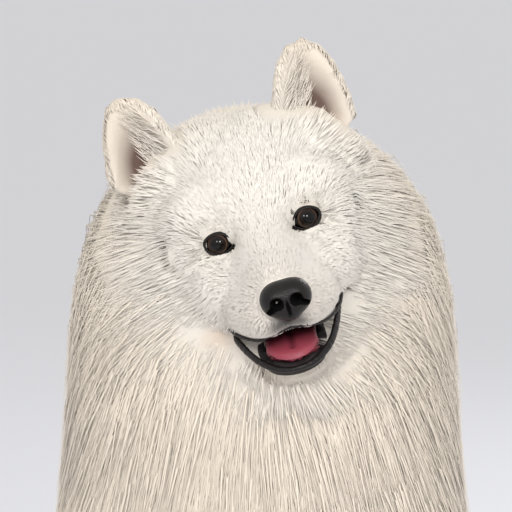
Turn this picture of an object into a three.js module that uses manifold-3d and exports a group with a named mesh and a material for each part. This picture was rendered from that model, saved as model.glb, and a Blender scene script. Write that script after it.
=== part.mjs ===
// A sitting adult Samoyed, life size, as a still model: head tilted to one side, mouth a little open,
// tail laid on the floor. Millimetres, +Z up, the dog facing -Y with its left side towards +X, the floor
// at z = 0.
//
// The flesh is a set of egg-shaped masses and tapered limbs, blended into smooth fields of distance. Each
// node is a sleeve wrapped on such a field, with less than half the depth of the long coat added as a
// core. Flat tapered locks then follow the lie of the hair out to the coat's full depth.

import * as THREE from "three";
import { mergeVertices } from "three/addons/utils/BufferGeometryUtils.js";
import Module from "manifold-3d";

const wasm = await Module();
wasm.setup();
const { Manifold, Mesh } = wasm;

// Driving dimensions
const eyeSpacing = 64; // pupil to pupil
const eyeHeight = 668; // the point midway between the eyes, above the floor
const eyeReach = 50; // the same point, ahead of the withers' plumb line
const headRoll = 16.5; // tilt towards the dog's right shoulder, degrees
const headYaw = 1; // turn towards the dog's left, degrees
const jawRoll = 2.5; // the open jaw hangs a little nearer upright than the skull, degrees
const backSlope = 56; // of the sitting dog's back to the floor, degrees
const gap = 0.4; // between touching nodes

// Depths of the coat over the skin
const ruffDepth = 72;
const bodyDepth = 52;
const thighDepth = 48;
const armDepth = 46;
const tailDepth = 74;
const cheekFur = 14;
const crownFur = 12;
const browFur = 6;
const muzzleFur = 3;
const legFur = 8;
const pawFur = 4;
const coreShare = 0.48; // of the long coat's depth that is solid core under the locks
const lockShare = 1 - coreShare;

// How finely each sleeve is divided: rings along it, sides round it, and rings in the fan at each end
const detail = {
  head: { rings: 18, sides: 24, fan: 4 },
  jaw: { rings: 6, sides: 14, fan: 3 },
  nose: { rings: 2, sides: 12, fan: 3 },
  tongue: { rings: 6, sides: 12, fan: 2 },
  trunk: { rings: 12, sides: 14, fan: 3 },
  foreleg: { rings: 11, sides: 12, fan: 2 },
  forepaw: { rings: 4, sides: 14, fan: 3 },
  thigh: { rings: 7, sides: 12, fan: 3 },
  hindFoot: { rings: 8, sides: 14, fan: 3 },
  tail: { rings: 11, sides: 12, fan: 2 },
};

// Widths of the fillets where masses meet
const bodyBlend = 44;
const limbBlend = 36;
const headBlend = 16;
const noseBlend = 7;
const pawBlend = 9;
const lieBlend = 16; // between the parts that the locks lie over

const v3 = (x, y, z) => new THREE.Vector3(x, y, z);
const radians = THREE.MathUtils.degToRad;
const flip = ([x, y, z]) => [-x, y, z];
const curve = (...points) => new THREE.CatmullRomCurve3(points.map(([x, y, z]) => v3(x, y, z)));

// A seeded draw, so that every build is the same
let seed = 7;
function draw(low, high) {
  seed = (seed * 1664525 + 1013904223) % 4294967296;
  return low + ((high - low) * seed) / 4294967296;
}

// Fields of distance

// An egg-shaped mass: centre, half sizes, depth of coat over it, and the turn of its axes in degrees
function egg([x, y, z], [a, b, c], coat = 0, [tx, ty, tz] = [0, 0, 0]) {
  const turn = new THREE.Matrix3().setFromMatrix4(
    new THREE.Matrix4().makeRotationFromEuler(new THREE.Euler(radians(tx), radians(ty), radians(tz))),
  );
  const m = turn.elements;
  const ra = a + coat;
  const rb = b + coat;
  const rc = c + coat;
  return (p) => {
    const dx = p.x - x;
    const dy = p.y - y;
    const dz = p.z - z;
    const u = (m[0] * dx + m[1] * dy + m[2] * dz) / ra;
    const v = (m[3] * dx + m[4] * dy + m[5] * dz) / rb;
    const w = (m[6] * dx + m[7] * dy + m[8] * dz) / rc;
    const near = Math.sqrt(u * u + v * v + w * w);
    const steep = Math.sqrt((u / ra) ** 2 + (v / rb) ** 2 + (w / rc) ** 2);
    return steep < 1e-9 ? -Math.min(ra, rb, rc) : (near * (near - 1)) / steep;
  };
}

// A limb that tapers from one round end to the other
function limb(from, r1, to, r2, coat = 0) {
  const start = v3(...from);
  const along = v3(...to).sub(start);
  const reach = along.lengthSq();
  const q = v3(0, 0, 0);
  return (p) => {
    q.subVectors(p, start);
    const t = THREE.MathUtils.clamp(q.dot(along) / reach, 0, 1);
    q.addScaledVector(along, -t);
    return q.length() - (r1 + (r2 - r1) * t) - coat;
  };
}

// The same mass on both sides of the middle
const eggs = (centre, sizes, coat = 0, [tx, ty, tz] = [0, 0, 0]) => [
  egg(centre, sizes, coat, [tx, ty, tz]),
  egg(flip(centre), sizes, coat, [tx, -ty, -tz]),
];

// The smooth union of masses, with its surface moved out by grow
function blend(masses, width) {
  return (p, grow = 0) => {
    let nearest = masses[0](p);
    for (const mass of masses.slice(1)) {
      const next = mass(p);
      const share = Math.max(width - Math.abs(nearest - next), 0) / width;
      nearest = Math.min(nearest, next) - (share * share * width) / 4;
    }
    return nearest - grow;
  };
}

const slopeStep = 0.5;
function slope(field, p) {
  const way = v3(0, 0, 0);
  for (const axis of ["x", "y", "z"]) {
    const q = p.clone();
    q[axis] += slopeStep;
    const ahead = field(q);
    q[axis] -= 2 * slopeStep;
    way[axis] = ahead - field(q);
  }
  return way.normalize();
}

// Distance from a centre to the surface along a direction, walking out from the inside
const walkStep = 4;
const walkLimit = 400;
function reachTo(field, centre, way, grow) {
  const p = v3(0, 0, 0);
  const at = (r) => field(p.copy(centre).addScaledVector(way, r), grow);
  let low = 0;
  let high = walkStep;
  while (high < walkLimit && at(high) < 0) {
    low = high;
    high += walkStep;
  }
  for (let i = 0; i < 14; i++) {
    const middle = (low + high) / 2;
    if (at(middle) < 0) low = middle;
    else high = middle;
  }
  return (low + high) / 2;
}

// Solids

function solidOf(geometry) {
  const bare = new THREE.BufferGeometry();
  bare.setAttribute("position", geometry.getAttribute("position"));
  if (geometry.index) bare.setIndex(geometry.index);
  const merged = mergeVertices(bare, 1e-4);
  const vertProperties = new Float32Array(merged.attributes.position.array);
  const triVerts = new Uint32Array(merged.index.array);
  const made = new Manifold(new Mesh({ numProp: 3, vertProperties, triVerts }));
  if (made.volume() > 0) return made;
  for (let i = 0; i < triVerts.length; i += 3) {
    [triVerts[i], triVerts[i + 1]] = [triVerts[i + 1], triVerts[i]];
  }
  return new Manifold(new Mesh({ numProp: 3, vertProperties, triVerts }));
}

// Rings of points, closed by a pole at each end
function closeRings(rings, firstPole, lastPole) {
  const sides = rings[0].length;
  const points = [firstPole, ...rings.flat(), lastPole];
  const faces = [];
  for (let j = 0; j < sides; j++) {
    const k = (j + 1) % sides;
    faces.push(0, 1 + k, 1 + j);
    for (let i = 0; i + 1 < rings.length; i++) {
      const a = 1 + i * sides;
      const b = a + sides;
      faces.push(a + j, a + k, b + j, a + k, b + k, b + j);
    }
    const last = 1 + (rings.length - 1) * sides;
    faces.push(last + j, last + k, points.length - 1);
  }
  const geometry = new THREE.BufferGeometry().setFromPoints(points);
  geometry.setIndex(faces);
  return solidOf(geometry);
}

// A direction out of a spine: t along it, angle round it, and polar forward of square
function outOf(spine, side, t, angle, polar) {
  const centre = spine.getPointAt(t);
  const ahead = spine.getTangentAt(t);
  const across = side.clone().addScaledVector(ahead, -side.dot(ahead)).normalize();
  const up = v3(0, 0, 0).crossVectors(across, ahead);
  const way = across.multiplyScalar(Math.cos(angle) * Math.cos(polar));
  way.addScaledVector(up, Math.sin(angle) * Math.cos(polar)).addScaledVector(ahead, Math.sin(polar));
  return { centre, way };
}
const acrossX = v3(1, 0, 0);
const acrossZ = v3(0, 0, 1);

// A field wrapped by rings square to a spine, with a fan of rings round each end
function sleeve(field, spine, { rings, sides, fan, grow = 0, side = acrossX }) {
  const pointAt = (t, angle, polar) => {
    const { centre, way } = outOf(spine, side, t, angle, polar);
    return centre.addScaledVector(way, reachTo(field, centre, way, grow));
  };
  const made = [];
  const ringAt = (t, polar) => {
    made.push(Array.from({ length: sides }, (_, j) => pointAt(t, (2 * Math.PI * j) / sides, polar)));
  };
  const quarter = Math.PI / 2;
  for (let i = fan; i > 0; i--) ringAt(0, (-i / (fan + 1)) * quarter);
  for (let i = 0; i < rings; i++) ringAt(i / (rings - 1), 0);
  for (let i = 1; i <= fan; i++) ringAt(1, (i / (fan + 1)) * quarter);
  return closeRings(made, pointAt(0, 0, -quarter), pointAt(1, 0, quarter));
}

// A round rod along a curve, for the lips
function rod(path, radius, steps) {
  const ring = new THREE.Shape();
  ring.absarc(0, 0, radius, 0, 2 * Math.PI, false);
  return solidOf(new THREE.ExtrudeGeometry(ring, { steps, extrudePath: path, curveSegments: 2.5 }));
}

function sphere(radius, across = 12, around = 8) {
  return solidOf(new THREE.SphereGeometry(radius, across, around));
}
const put = (solid, matrix) => solid.transform(matrix.elements);
const moved = (x, y, z) => new THREE.Matrix4().makeTranslation(x, y, z);
const turnedY = (degrees) => new THREE.Matrix4().makeRotationY(radians(degrees));
const turnedZ = (degrees) => new THREE.Matrix4().makeRotationZ(radians(degrees));

// Everything beyond a plane, as a large block to cut away
const blockSize = 3000;
function beyond(point, normal) {
  const box = new THREE.BoxGeometry(blockSize, blockSize, blockSize);
  box.translate(0, 0, blockSize / 2);
  box.applyQuaternion(new THREE.Quaternion().setFromUnitVectors(acrossZ, normal.clone().normalize()));
  box.translate(point.x, point.y, point.z);
  return solidOf(box);
}

// A solid cut at a plane, keeping the side that its normal, times sign, points away from
function cutAt(solid, { point, normal }, sign, grow) {
  const way = normal.clone().normalize().multiplyScalar(sign);
  return solid.subtract(beyond(point.clone().addScaledVector(way, grow), way));
}

function largest(solid) {
  return solid.decompose().reduce((a, b) => (b.volume() > a.volume() ? b : a));
}

// The head's own frame: origin midway between the eyes, the muzzle towards -Y, the crown towards +Z
const headPlace = moved(0, -eyeReach, eyeHeight).multiply(turnedY(-headRoll)).multiply(turnedZ(headYaw));
const headBack = headPlace.clone().invert();
const jawPivot = v3(0, 40, -30);
const jawPlace = headPlace
  .clone()
  .multiply(moved(...jawPivot))
  .multiply(turnedY(jawRoll))
  .multiply(moved(...jawPivot.clone().negate()));

// Masses of the trunk
const ruffCore = ruffDepth * coreShare;
const bodyCore = bodyDepth * coreShare;
const spineTilt = [90 - backSlope, 0, 0];
const trunkMasses = [
  limb([0, 56, 500], 62, [0, 54, 540], 58, ruffCore), // neck
  egg([0, 58, 596], [62, 34, 56], ruffCore), // collar behind the jaws
  egg([0, 78, 634], [52, 28, 42], ruffCore), // nape
  egg([0, 8, 505], [48, 28, 50], ruffCore), // bib
  egg([0, 100, 400], [84, 86, 144], bodyCore, spineTilt), // ribs
  egg([0, 16, 430], [58, 42, 76], bodyCore), // breastbone
  ...eggs([54, 50, 410], [38, 52, 86], bodyCore, [8, 0, 0]), // shoulders
  egg([0, 205, 262], [78, 84, 130], bodyCore, spineTilt), // loin
  egg([0, 285, 132], [84, 84, 98], bodyCore, spineTilt), // rump
];
const trunkField = blend(trunkMasses, bodyBlend);
const trunkSpine = curve(
  [0, 52, 610], [0, 54, 530], [0, 72, 430], [0, 150, 320], [0, 240, 205], [0, 286, 120],
);
const neckCut = { point: v3(0, 50, 492), normal: v3(0, 0.1, -1) };
const downBack = v3(0, Math.cos(radians(backSlope)), -Math.sin(radians(backSlope)));
const rumpCut = { point: v3(0, 170, 300), normal: downBack };

// Masses of the head, in its own frame
const headMasses = [
  egg([0, 62, 18], [52, 54, 48], crownFur), // braincase
  ...eggs([26, 64, 42], [18, 24, 28], crownFur), // crown beside the ears
  egg([0, 68, -2], [72, 50, 40], cheekFur), // temples and cheeks
  ...eggs([44, 56, -30], [22, 36, 28], cheekFur), // jaw muscles
  egg([0, 30, 16], [40, 32, 32], browFur), // forehead
  ...eggs([25, 9, 18], [15, 11, 8], browFur), // brows
  egg([0, -20, -28], [28, 34, 23], muzzleFur), // muzzle, root to tip
  egg([0, -48, -36], [22, 34, 19], muzzleFur),
  egg([0, -70, -41], [19, 17, 14], muzzleFur),
  ...eggs([15, -57, -50], [11, 24, 11], muzzleFur), // whisker pads
  ...eggs([25, -32, -46], [11, 26, 12], muzzleFur), // flews
  limb([0, -8, -8], 11, [0, -76, -27], 8, muzzleFur), // bridge
  ...eggs([34, 14, -20], [15, 18, 12], browFur), // cheekbones
  egg([0, 54, -50], [38, 42, 22], cheekFur), // throat
];
const headField = blend(headMasses, headBlend);
const napeCut = { point: v3(0, 84, -40), normal: v3(0, 0.75, -0.66) };
const headSpine = curve([0, -68, -42], [0, -40, -32], [0, 0, -12], [0, 36, 0], [0, 74, 6]);

const jawMasses = [
  egg([0, -47, -86], [19, 18, 9.5], muzzleFur),
  egg([0, -22, -77], [25, 32, 15], muzzleFur),
  egg([0, 16, -64], [33, 38, 22], browFur),
];
const jawField = blend(jawMasses, headBlend);
const jawBack = { point: v3(0, 20, -80), normal: v3(0, 1, 0) };
const jawTop = { point: v3(0, -10, -57), normal: v3(0, 0.4, 1) };
const jawSpine = curve([0, -47, -88], [0, -20, -78], [0, 14, -66]);

const noseCentre = v3(1, -89, -37.5);
const atNose = (x, y, z) => [noseCentre.x + x, noseCentre.y + y, noseCentre.z + z];
const noseWing = 8;
const noseMasses = [
  egg(atNose(0, 0, 0), [15, 11.5, 11.5]),
  egg(atNose(noseWing, 0, -1), [8.5, 10.5, 10]),
  egg(atNose(-noseWing, 0, -1), [8.5, 10.5, 10]),
  egg(atNose(0, -2, -8.5), [6.5, 8, 7.5]),
];
const noseField = blend(noseMasses, noseBlend);
const noseSpine = curve(atNose(0, -5, -1), atNose(0, 3, 0));

// The tongue lies in the jaw, its tip bent down behind the lower lip
const tongueMasses = [
  egg([0, -34, -75], [18.5, 30, 6], 0, [10, 0, 0]),
  egg([0, -55, -82], [17.5, 12, 6], 0, [34, 0, 0]),
];
const tongueField = blend(tongueMasses, pawBlend);
const tongueSpine = curve([0, -18, -73], [0, -38, -77], [0, -56, -82.5]);

// Limbs, for the left side: the right side is their mirror image
const elbow = [74, 74, 290];
const wrist = [66, 34, 108];
const forePaw = [67, -16, 0];
const knee = [128, 122, 196];
const hock = [116, 262, 50];
const hindPaw = [126, 96, 0];
const shankFur = 20;

const foreMasses = (mirror) => [
  limb(mirror([74, 28, 380]), 46, mirror(elbow), 36, armDepth * coreShare),
  limb(mirror(elbow), 34, mirror(wrist), 21, legFur),
  limb(mirror(wrist), 21, mirror([66, 4, 52]), 19, legFur),
];
const thighTilt = [-26, 0, 6];
const thighMasses = (mirror) => [
  egg(
    mirror([98, 214, 150]), [46, 104, 82], thighDepth * coreShare,
    [thighTilt[0], 0, thighTilt[2] * Math.sign(mirror([1, 0, 0])[0])],
  ),
  limb(mirror(knee), 40, mirror(hock), 24, shankFur),
];
const hindMasses = (mirror) => [limb(mirror(hock), 24, mirror([124, 150, 30]), 22, legFur)];

// A paw: pad, back of the foot, and four toes set in an arch
const toeSpread = 17.5;
const toeSizes = [12, 21, 16];
const toeFur = 2.5;
const toeHeight = 15;
const toeReach = 0.62; // of the paw's length, from its middle to the toes' middles
const innerToes = 1; // share of the paw's length that the inner and outer toes reach
const outerToes = 0.72;
const foreFoot = { at: forePaw, length: 38, turn: 4 };
const hindFoot = { at: hindPaw, length: 40, turn: 10 };
function toesOf({ at: [x, y], length, turn }) {
  return [-1.5, -0.5, 0.5, 1.5].map((place) => {
    const ahead = length * (Math.abs(place) < 1 ? innerToes : outerToes);
    return [x + place * toeSpread + Math.sin(radians(turn)) * ahead, y - ahead * toeReach, toeHeight];
  });
}
function pawMasses(foot, mirror) {
  const [x, y] = foot.at;
  return [
    egg(mirror([x, y + 6, 22]), [26, 32, 19], pawFur),
    egg(mirror([x, y + 22, 30]), [22, 24, 24], pawFur),
    ...toesOf(foot).map((toe) => egg(mirror(toe), toeSizes, toeFur)),
  ];
}

// The tail: bone along a curve on the floor, clothed in its plume
const tailPath = curve(
  [0, 330, 120], [6, 396, 86], [28, 452, 66], [68, 494, 58], [116, 512, 52], [164, 506, 46],
);
const tailBone = [22, 20, 17, 14, 11, 8];
const tailCoat = [0.55, 0.78, 0.95, 1, 0.9, 0.55]; // of the tail's depth, from root to tip
const tailRadii = tailBone.map((r, i) => r + tailCoat[i] * tailDepth * coreShare);
const tailMasses = tailRadii.slice(1).map((r, i) => {
  const from = tailPath.getPoint(i / (tailBone.length - 1)).toArray();
  const to = tailPath.getPoint((i + 1) / (tailBone.length - 1)).toArray();
  return limb(from, tailRadii[i], to, r);
});
const tailField = blend(tailMasses, limbBlend);
const tailSplit = 0.52;
const tailCut = { point: tailPath.getPointAt(tailSplit), normal: tailPath.getTangentAt(tailSplit) };

const sides = { left: 1, right: -1 };
const mirrors = { left: (p) => p, right: flip };
const bothSides = (make) => Object.values(sides).map(make);
const foreFields = {};
const thighFields = {};
for (const [word, mirror] of Object.entries(mirrors)) {
  foreFields[word] = blend(foreMasses(mirror), limbBlend);
  thighFields[word] = blend(thighMasses(mirror), limbBlend);
}

// The surface that the locks lie over
const bodyFields = [trunkField, tailField, ...Object.values(thighFields), ...Object.values(foreFields)];
const bodyField = blend(bodyFields, lieBlend);
const skullField = (p) => headField(p.clone().applyMatrix4(headBack));
const chinField = (p) => jawField(p.clone().applyMatrix4(headBack));
const dogField = blend([bodyField, skullField], lieBlend);

// The lie of the hair: its direction at places on the left side, mirrored to the right
const lies = [
  [[0, -60, 580], [0, -0.25, -1]], // throat
  [[50, -60, 545], [0.22, -0.05, -1]], // bib
  [[0, -75, 450], [0, 0.02, -1]], // chest
  [[0, -20, 330], [0, 0.35, -1]], // brisket
  [[105, 20, 600], [0.3, 0.3, -0.9]], // side of the neck
  [[70, 70, 690], [0.6, 0.5, -0.6]], // behind the ears
  [[0, 120, 650], [0, 0.75, -0.65]], // nape
  [[0, 150, 520], [0, 0.6, -0.8]], // withers
  [[130, 60, 440], [0.1, 0.35, -0.9]], // shoulder
  [[0, 235, 380], [0, 0.6, -0.8]], // back
  [[110, 150, 300], [0.1, 0.6, -0.75]], // flank
  [[0, 345, 220], [0, 0.4, -0.9]], // croup
  [[0, 385, 120], [0, 0.15, -1]], // seat
  [[165, 190, 190], [0.1, 0.5, -0.8]], // thigh
  [[100, 330, 120], [0.2, 0.4, -0.85]], // trousers
  [[75, 90, 220], [0, 0.55, -0.85]], // back of the foreleg
];
const lieSpots = lies.flatMap(([at, way]) => [
  [v3(...at), v3(...way)],
  [v3(...flip(at)), v3(...flip(way))],
]);
function bodyLie(p) {
  const sum = v3(0, 0, 0);
  for (const [at, way] of lieSpots) sum.addScaledVector(way, 1 / (at.distanceToSquared(p) + 100) ** 2);
  return sum.normalize();
}

// On the tail the hair runs along the bone and out from it
const plumeSpread = 0.45;
const tailSteps = 40;
function tailLie(p) {
  const places = Array.from({ length: tailSteps + 1 }, (_, i) => i / tailSteps);
  const away = (t) => tailPath.getPointAt(t).distanceTo(p);
  const nearest = places.reduce((a, b) => (away(b) < away(a) ? b : a));
  const out = p.clone().sub(tailPath.getPointAt(nearest)).normalize();
  return tailPath.getTangentAt(nearest).addScaledVector(out, plumeSpread).normalize();
}

// On the cheeks it sweeps out, back and down
function cheekLie(p) {
  const side = Math.sign(p.clone().applyMatrix4(headBack).x);
  return v3(side * 0.66, 0.36, -0.66).transformDirection(headPlace);
}

// Locks: stations from the sunk root to the pointed tip, as shares of the lock's sizes. All the stations of
// one lock are level across, so that its faces are flat.
const lockAlong = [0, 0.36, 0.74];
const lockWidths = [0.75, 1, 0.66];
const lockDepths = [0.9, 1, 0.65];
const lockRises = [-0.3, 0.42, 0.9];
const lockTurn = 12; // how far a lock may stray from the lie, degrees
const lockBend = 10; // and bend at each station
const easing = 0.4; // of the last station's direction that the next one keeps
function traceLock(root, field, lieOf, { length, width, depth, lift }) {
  const turn = draw(-lockTurn, lockTurn);
  const bend = draw(-lockBend, lockBend);
  const long = length * draw(0.88, 1.14);
  const wide = width * draw(0.88, 1.12);
  const high = lift * draw(0.86, 1.12);
  const shares = [...lockAlong, 1];
  const rises = [...lockRises, 1];
  const p = root.clone();
  const ahead = v3(0, 0, 0);
  const across = v3(0, 0, 0);
  const spine = shares.map((share, i) => {
    if (i > 0) p.addScaledVector(ahead, (share - shares[i - 1]) * long);
    const normal = slope(field, p);
    p.addScaledVector(normal, rises[i] * high - field(p));
    ahead.lerp(lieOf(p).applyAxisAngle(normal, radians(turn + bend * i)), i > 0 ? 1 - easing : 1);
    ahead.addScaledVector(normal, -ahead.dot(normal)).normalize();
    across.add(v3(0, 0, 0).crossVectors(ahead, normal));
    return p.clone();
  });
  across.normalize();
  return spine.map((at, i) => {
    const way = v3(0, 0, 0).subVectors(spine[Math.min(i + 1, spine.length - 1)], spine[Math.max(i - 1, 0)]);
    const normal = v3(0, 0, 0).crossVectors(across, way).normalize();
    const half = (wide / 2) * (lockWidths[i] ?? 0);
    const thick = (depth / 2) * (lockDepths[i] ?? 0);
    return { at, normal, across, way: way.normalize(), half, thick };
  });
}

// A flat underside and a low ridge. A grown lock's corners move out by the miter of its sharp edges.
const rootCap = 2;
const tipSharpness = 8;
function lockSolid(stations, grow) {
  const [neck, tip] = stations.slice(-2);
  const rings = stations.slice(0, -1).map(({ at, normal, across, half, thick }) => {
    const rise = 1.5 * thick;
    const slant = Math.hypot(rise, half);
    const edge = (out) =>
      at
        .clone()
        .addScaledVector(across, out * (half + (grow * (slant + half)) / rise))
        .addScaledVector(normal, -thick / 2 - grow);
    return [edge(1), at.clone().addScaledVector(normal, thick + (grow * slant) / half), edge(-1)];
  });
  const root = stations[0].at.clone().addScaledVector(stations[0].way, -rootCap - grow);
  const onward = tip.at.clone().sub(neck.at).normalize();
  return closeRings(rings, root, tip.at.clone().addScaledVector(onward, tipSharpness * grow));
}
const lockSolids = (locks, grow) => locks.map((stations) => lockSolid(stations, grow));

// Roots in rows round a spine, each row half a place on from the one before
function rootsOn(field, spine, rows, spacing, side = acrossX) {
  const found = [];
  rows.forEach(([t, polar], row) => {
    const at = (angle) => {
      const { centre, way } = outOf(spine, side, t, angle, radians(polar));
      return centre.addScaledVector(way, reachTo(field, centre, way, 0));
    };
    const loop = Array.from({ length: 12 }, (_, i) => at((2 * Math.PI * i) / 12));
    const girth = loop.reduce((sum, p, i) => sum + p.distanceTo(loop[(i + 1) % 12]), 0);
    const count = Math.max(3, Math.round(girth / spacing));
    for (let i = 0; i < count; i++) {
      const place = i + (row % 2) / 2 + draw(-0.12, 0.12);
      found.push(at((2 * Math.PI * place) / count));
    }
  });
  return found;
}

const ruffLock = { length: 134, width: 74, depth: 18, lift: ruffDepth * lockShare };
const bodyLock = { length: 148, width: 90, depth: 18, lift: bodyDepth * lockShare };
const thighLock = { length: 124, width: 80, depth: 17, lift: thighDepth * lockShare };
const tailLock = { length: 124, width: 58, depth: 16, lift: tailDepth * lockShare };
const cheekLock = { length: 84, width: 46, depth: 13, lift: 26 };
const armLock = { length: 104, width: 66, depth: 15, lift: armDepth * lockShare };
const featherLock = { length: 62, width: 30, depth: 10, lift: 22 };

// Clear of the face, the floor and the inner sides of the limbs
const clearOfSkull = 13;
const clearOfChin = 5;
const lowestRoot = 34;
const isOpen = (p, own) =>
  skullField(p) > clearOfSkull &&
  chinField(p) > clearOfChin &&
  p.z > lowestRoot &&
  bodyFields.every((field) => field === own || field(p) > -lieBlend / 4);
const underside = -0.55; // a surface that faces down more than this stays bare

const ruffRows = [[0, -58], [0, -32], [0, -8], [0.05, 0], [0.12, 0]];
const ruffSpacing = 70;
const backRows = [[0.24, 0], [0.38, 0], [0.52, 0], [0.66, 0], [0.8, 0], [0.94, 0], [1, 24]];
const backSpacing = 86;
const trunkRoots = [
  ...rootsOn(trunkField, trunkSpine, ruffRows, ruffSpacing),
  ...rootsOn(trunkField, trunkSpine, backRows, backSpacing),
].filter((p) => isOpen(p, trunkField) && slope(trunkField, p).z > underside);
const before = (p, { point, normal }) => p.clone().sub(point).dot(normal) < 0;
const neckRoots = trunkRoots.filter((p) => before(p, neckCut));
const torsoRoots = trunkRoots.filter((p) => !before(p, neckCut) && before(p, rumpCut));
const rumpRoots = trunkRoots.filter((p) => !before(p, neckCut) && !before(p, rumpCut));
const traceAll = (roots, lieOf, sizes) => roots.map((p) => traceLock(p, bodyField, lieOf, sizes));
const neckLocks = traceAll(neckRoots, bodyLie, ruffLock);
const torsoLocks = traceAll(torsoRoots, bodyLie, bodyLock);
const rumpLocks = traceAll(rumpRoots, bodyLie, bodyLock);

const tailRows = [[0.18, 0], [0.4, 0], [0.62, 0], [0.84, 0]];
const tailSpacing = 66;
const tailRoots = rootsOn(tailField, tailPath, tailRows, tailSpacing, acrossZ).filter((p) =>
  isOpen(p, tailField),
);
const baseRoots = tailRoots.filter((p) => before(p, tailCut));
const plumeRoots = tailRoots.filter((p) => !before(p, tailCut));
const tailBaseLocks = traceAll(baseRoots, tailLie, tailLock);
const tailPlumeLocks = traceAll(plumeRoots, tailLie, tailLock);

// Cheek locks are rooted along two arcs behind the face, from under the ear to under the jaw
const cheekCentre = v3(0, 52, -8);
const cheekArcs = [
  { back: -10, heights: [-6, -36] },
  { back: 22, heights: [26, -2, -28, -56] },
];
function cheekLocksOf(side) {
  return cheekArcs.flatMap(({ back, heights }) =>
    heights.map((height) => {
      const way = v3(side, Math.tan(radians(back)), 0).normalize();
      way.multiplyScalar(Math.cos(radians(height))).setZ(Math.sin(radians(height)));
      const reach = reachTo(headField, cheekCentre, way, 0);
      const root = cheekCentre.clone().addScaledVector(way, reach).applyMatrix4(headPlace);
      return traceLock(root, dogField, cheekLie, cheekLock);
    }),
  );
}
const cheekLocks = bothSides(cheekLocksOf).flat();

// Lids: a thin shell round the eyeball, open in an almond
const eyeRadius = 11;
const eyeDepth = 3; // of the eyeball's centre behind the line of the eyes
const lidWall = 2.2;
const almondWidth = 25;
const almondHeight = 17.5;
const almondSlant = 8;
const almondReach = 24;
const eyeTurn = 12; // each eye looks this far out from straight ahead, degrees
const cornerInset = 1.5; // the eyeball sits this much nearer the middle than the pupil's mark
const eyePlace = (side) =>
  moved(side * (eyeSpacing / 2 - cornerInset), eyeDepth, 0)
    .multiply(turnedZ(side * eyeTurn))
    .multiply(turnedY(-side * almondSlant));

function almond(side) {
  const [w, h] = [almondWidth, almondHeight];
  const shape = new THREE.Shape();
  shape.moveTo(-w / 2, 0);
  shape.quadraticCurveTo(-w * 0.2, h * 0.98, w * 0.08, h / 2);
  shape.quadraticCurveTo(w * 0.42, h * 0.36, w / 2, 0);
  shape.quadraticCurveTo(w * 0.2, -h * 0.86, -w * 0.05, -h / 2);
  shape.quadraticCurveTo(-w * 0.4, -h * 0.4, -w / 2, 0);
  const slab = new THREE.ExtrudeGeometry(shape, {
    depth: almondReach,
    bevelEnabled: false,
    curveSegments: 3,
  });
  slab.rotateX(Math.PI / 2);
  slab.scale(side, 1, 1);
  return put(solidOf(slab), eyePlace(side));
}
const eyeball = (side, grow) => put(sphere(eyeRadius + grow), eyePlace(side));
const lidWidening = 1.18;
function lid(side, grow) {
  return put(sphere(eyeRadius + lidWall + grow).scale([lidWidening, 1, 1]), eyePlace(side));
}

// The nose: leather with two comma-shaped nostrils and the groove between them
const commaSlant = 18;
function nostril(side) {
  const hole = put(sphere(3.6, 6, 4).scale([1.1, 2.4, 1]), moved(...atNose(side * 6.8, -8.5, -1)));
  const slit = solidOf(new THREE.BoxGeometry(9, 9, 2.2));
  return hole.add(put(slit, moved(...atNose(side * 11, -6.5, -4)).multiply(turnedY(side * commaSlant))));
}
const groove = () => put(solidOf(new THREE.BoxGeometry(1.2, 6, 13)), moved(...atNose(0, -11, -9.5)));

// Lips: rounded rims along the edges of the mouth
const upperLip = curve(
  [-42, -16, -53], [-36, -38, -63], [-24, -62, -65], [-10, -79, -61], [0, -84, -58],
  [10, -79, -61], [24, -62, -65], [36, -38, -63], [42, -16, -53],
);
const lowerLip = curve(
  [-38, -12, -60], [-33, -33, -72], [-25, -51, -82], [-13, -63, -88.5], [0, -67, -90],
  [13, -63, -88.5], [25, -51, -82], [33, -33, -72], [38, -12, -60],
);
const upperLipRadius = 2.6;
const lowerLipRadius = 2.8;
const lipSteps = 14;
const palate = (grow) => put(sphere(1, 10, 6).scale([18 - grow, 34 - grow, 12 - grow]), moved(0, -42, -68));
const trough = (grow) => put(sphere(1, 12, 6).scale([20.5 - grow, 31 - grow, 15 - grow]), moved(0, -43, -71));

// Ears: thick erect cones with rounded tips, hollowed into cups that open forward
const earHeight = 71;
const earHalfWidth = 38;
const earFlatness = 0.5;
const earWall = 9;
const earRoot = 14; // sunk under the base
const cupShift = -7.5;
const cupDrop = 13; // of the cup's top below the ear's tip
function earCone(height, halfWidth, shift) {
  const profile = new THREE.SplineCurve([
    new THREE.Vector2(halfWidth * 0.92, -earRoot),
    new THREE.Vector2(halfWidth, height * 0.06),
    new THREE.Vector2(halfWidth * 0.9, height * 0.34),
    new THREE.Vector2(halfWidth * 0.68, height * 0.64),
    new THREE.Vector2(halfWidth * 0.38, height * 0.9),
    new THREE.Vector2(0, height),
  ]);
  const points = profile.getPoints(7);
  points.unshift(new THREE.Vector2(0, -earRoot));
  const cone = new THREE.LatheGeometry(points, 12);
  cone.rotateX(Math.PI / 2);
  cone.scale(1, earFlatness, 1);
  cone.translate(0, shift, 0);
  return solidOf(cone);
}
const earPlace = (side) =>
  moved(side * 61, 60, 42)
    .multiply(turnedY(side * 5))
    .multiply(turnedZ(side * 14))
    .multiply(new THREE.Matrix4().makeRotationX(radians(4)));
function earSolid(side, grow) {
  const cup = earCone(earHeight - cupDrop - grow, earHalfWidth - earWall - grow, cupShift);
  return put(earCone(earHeight + grow, earHalfWidth + grow, 0).subtract(cup), earPlace(side));
}

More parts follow.
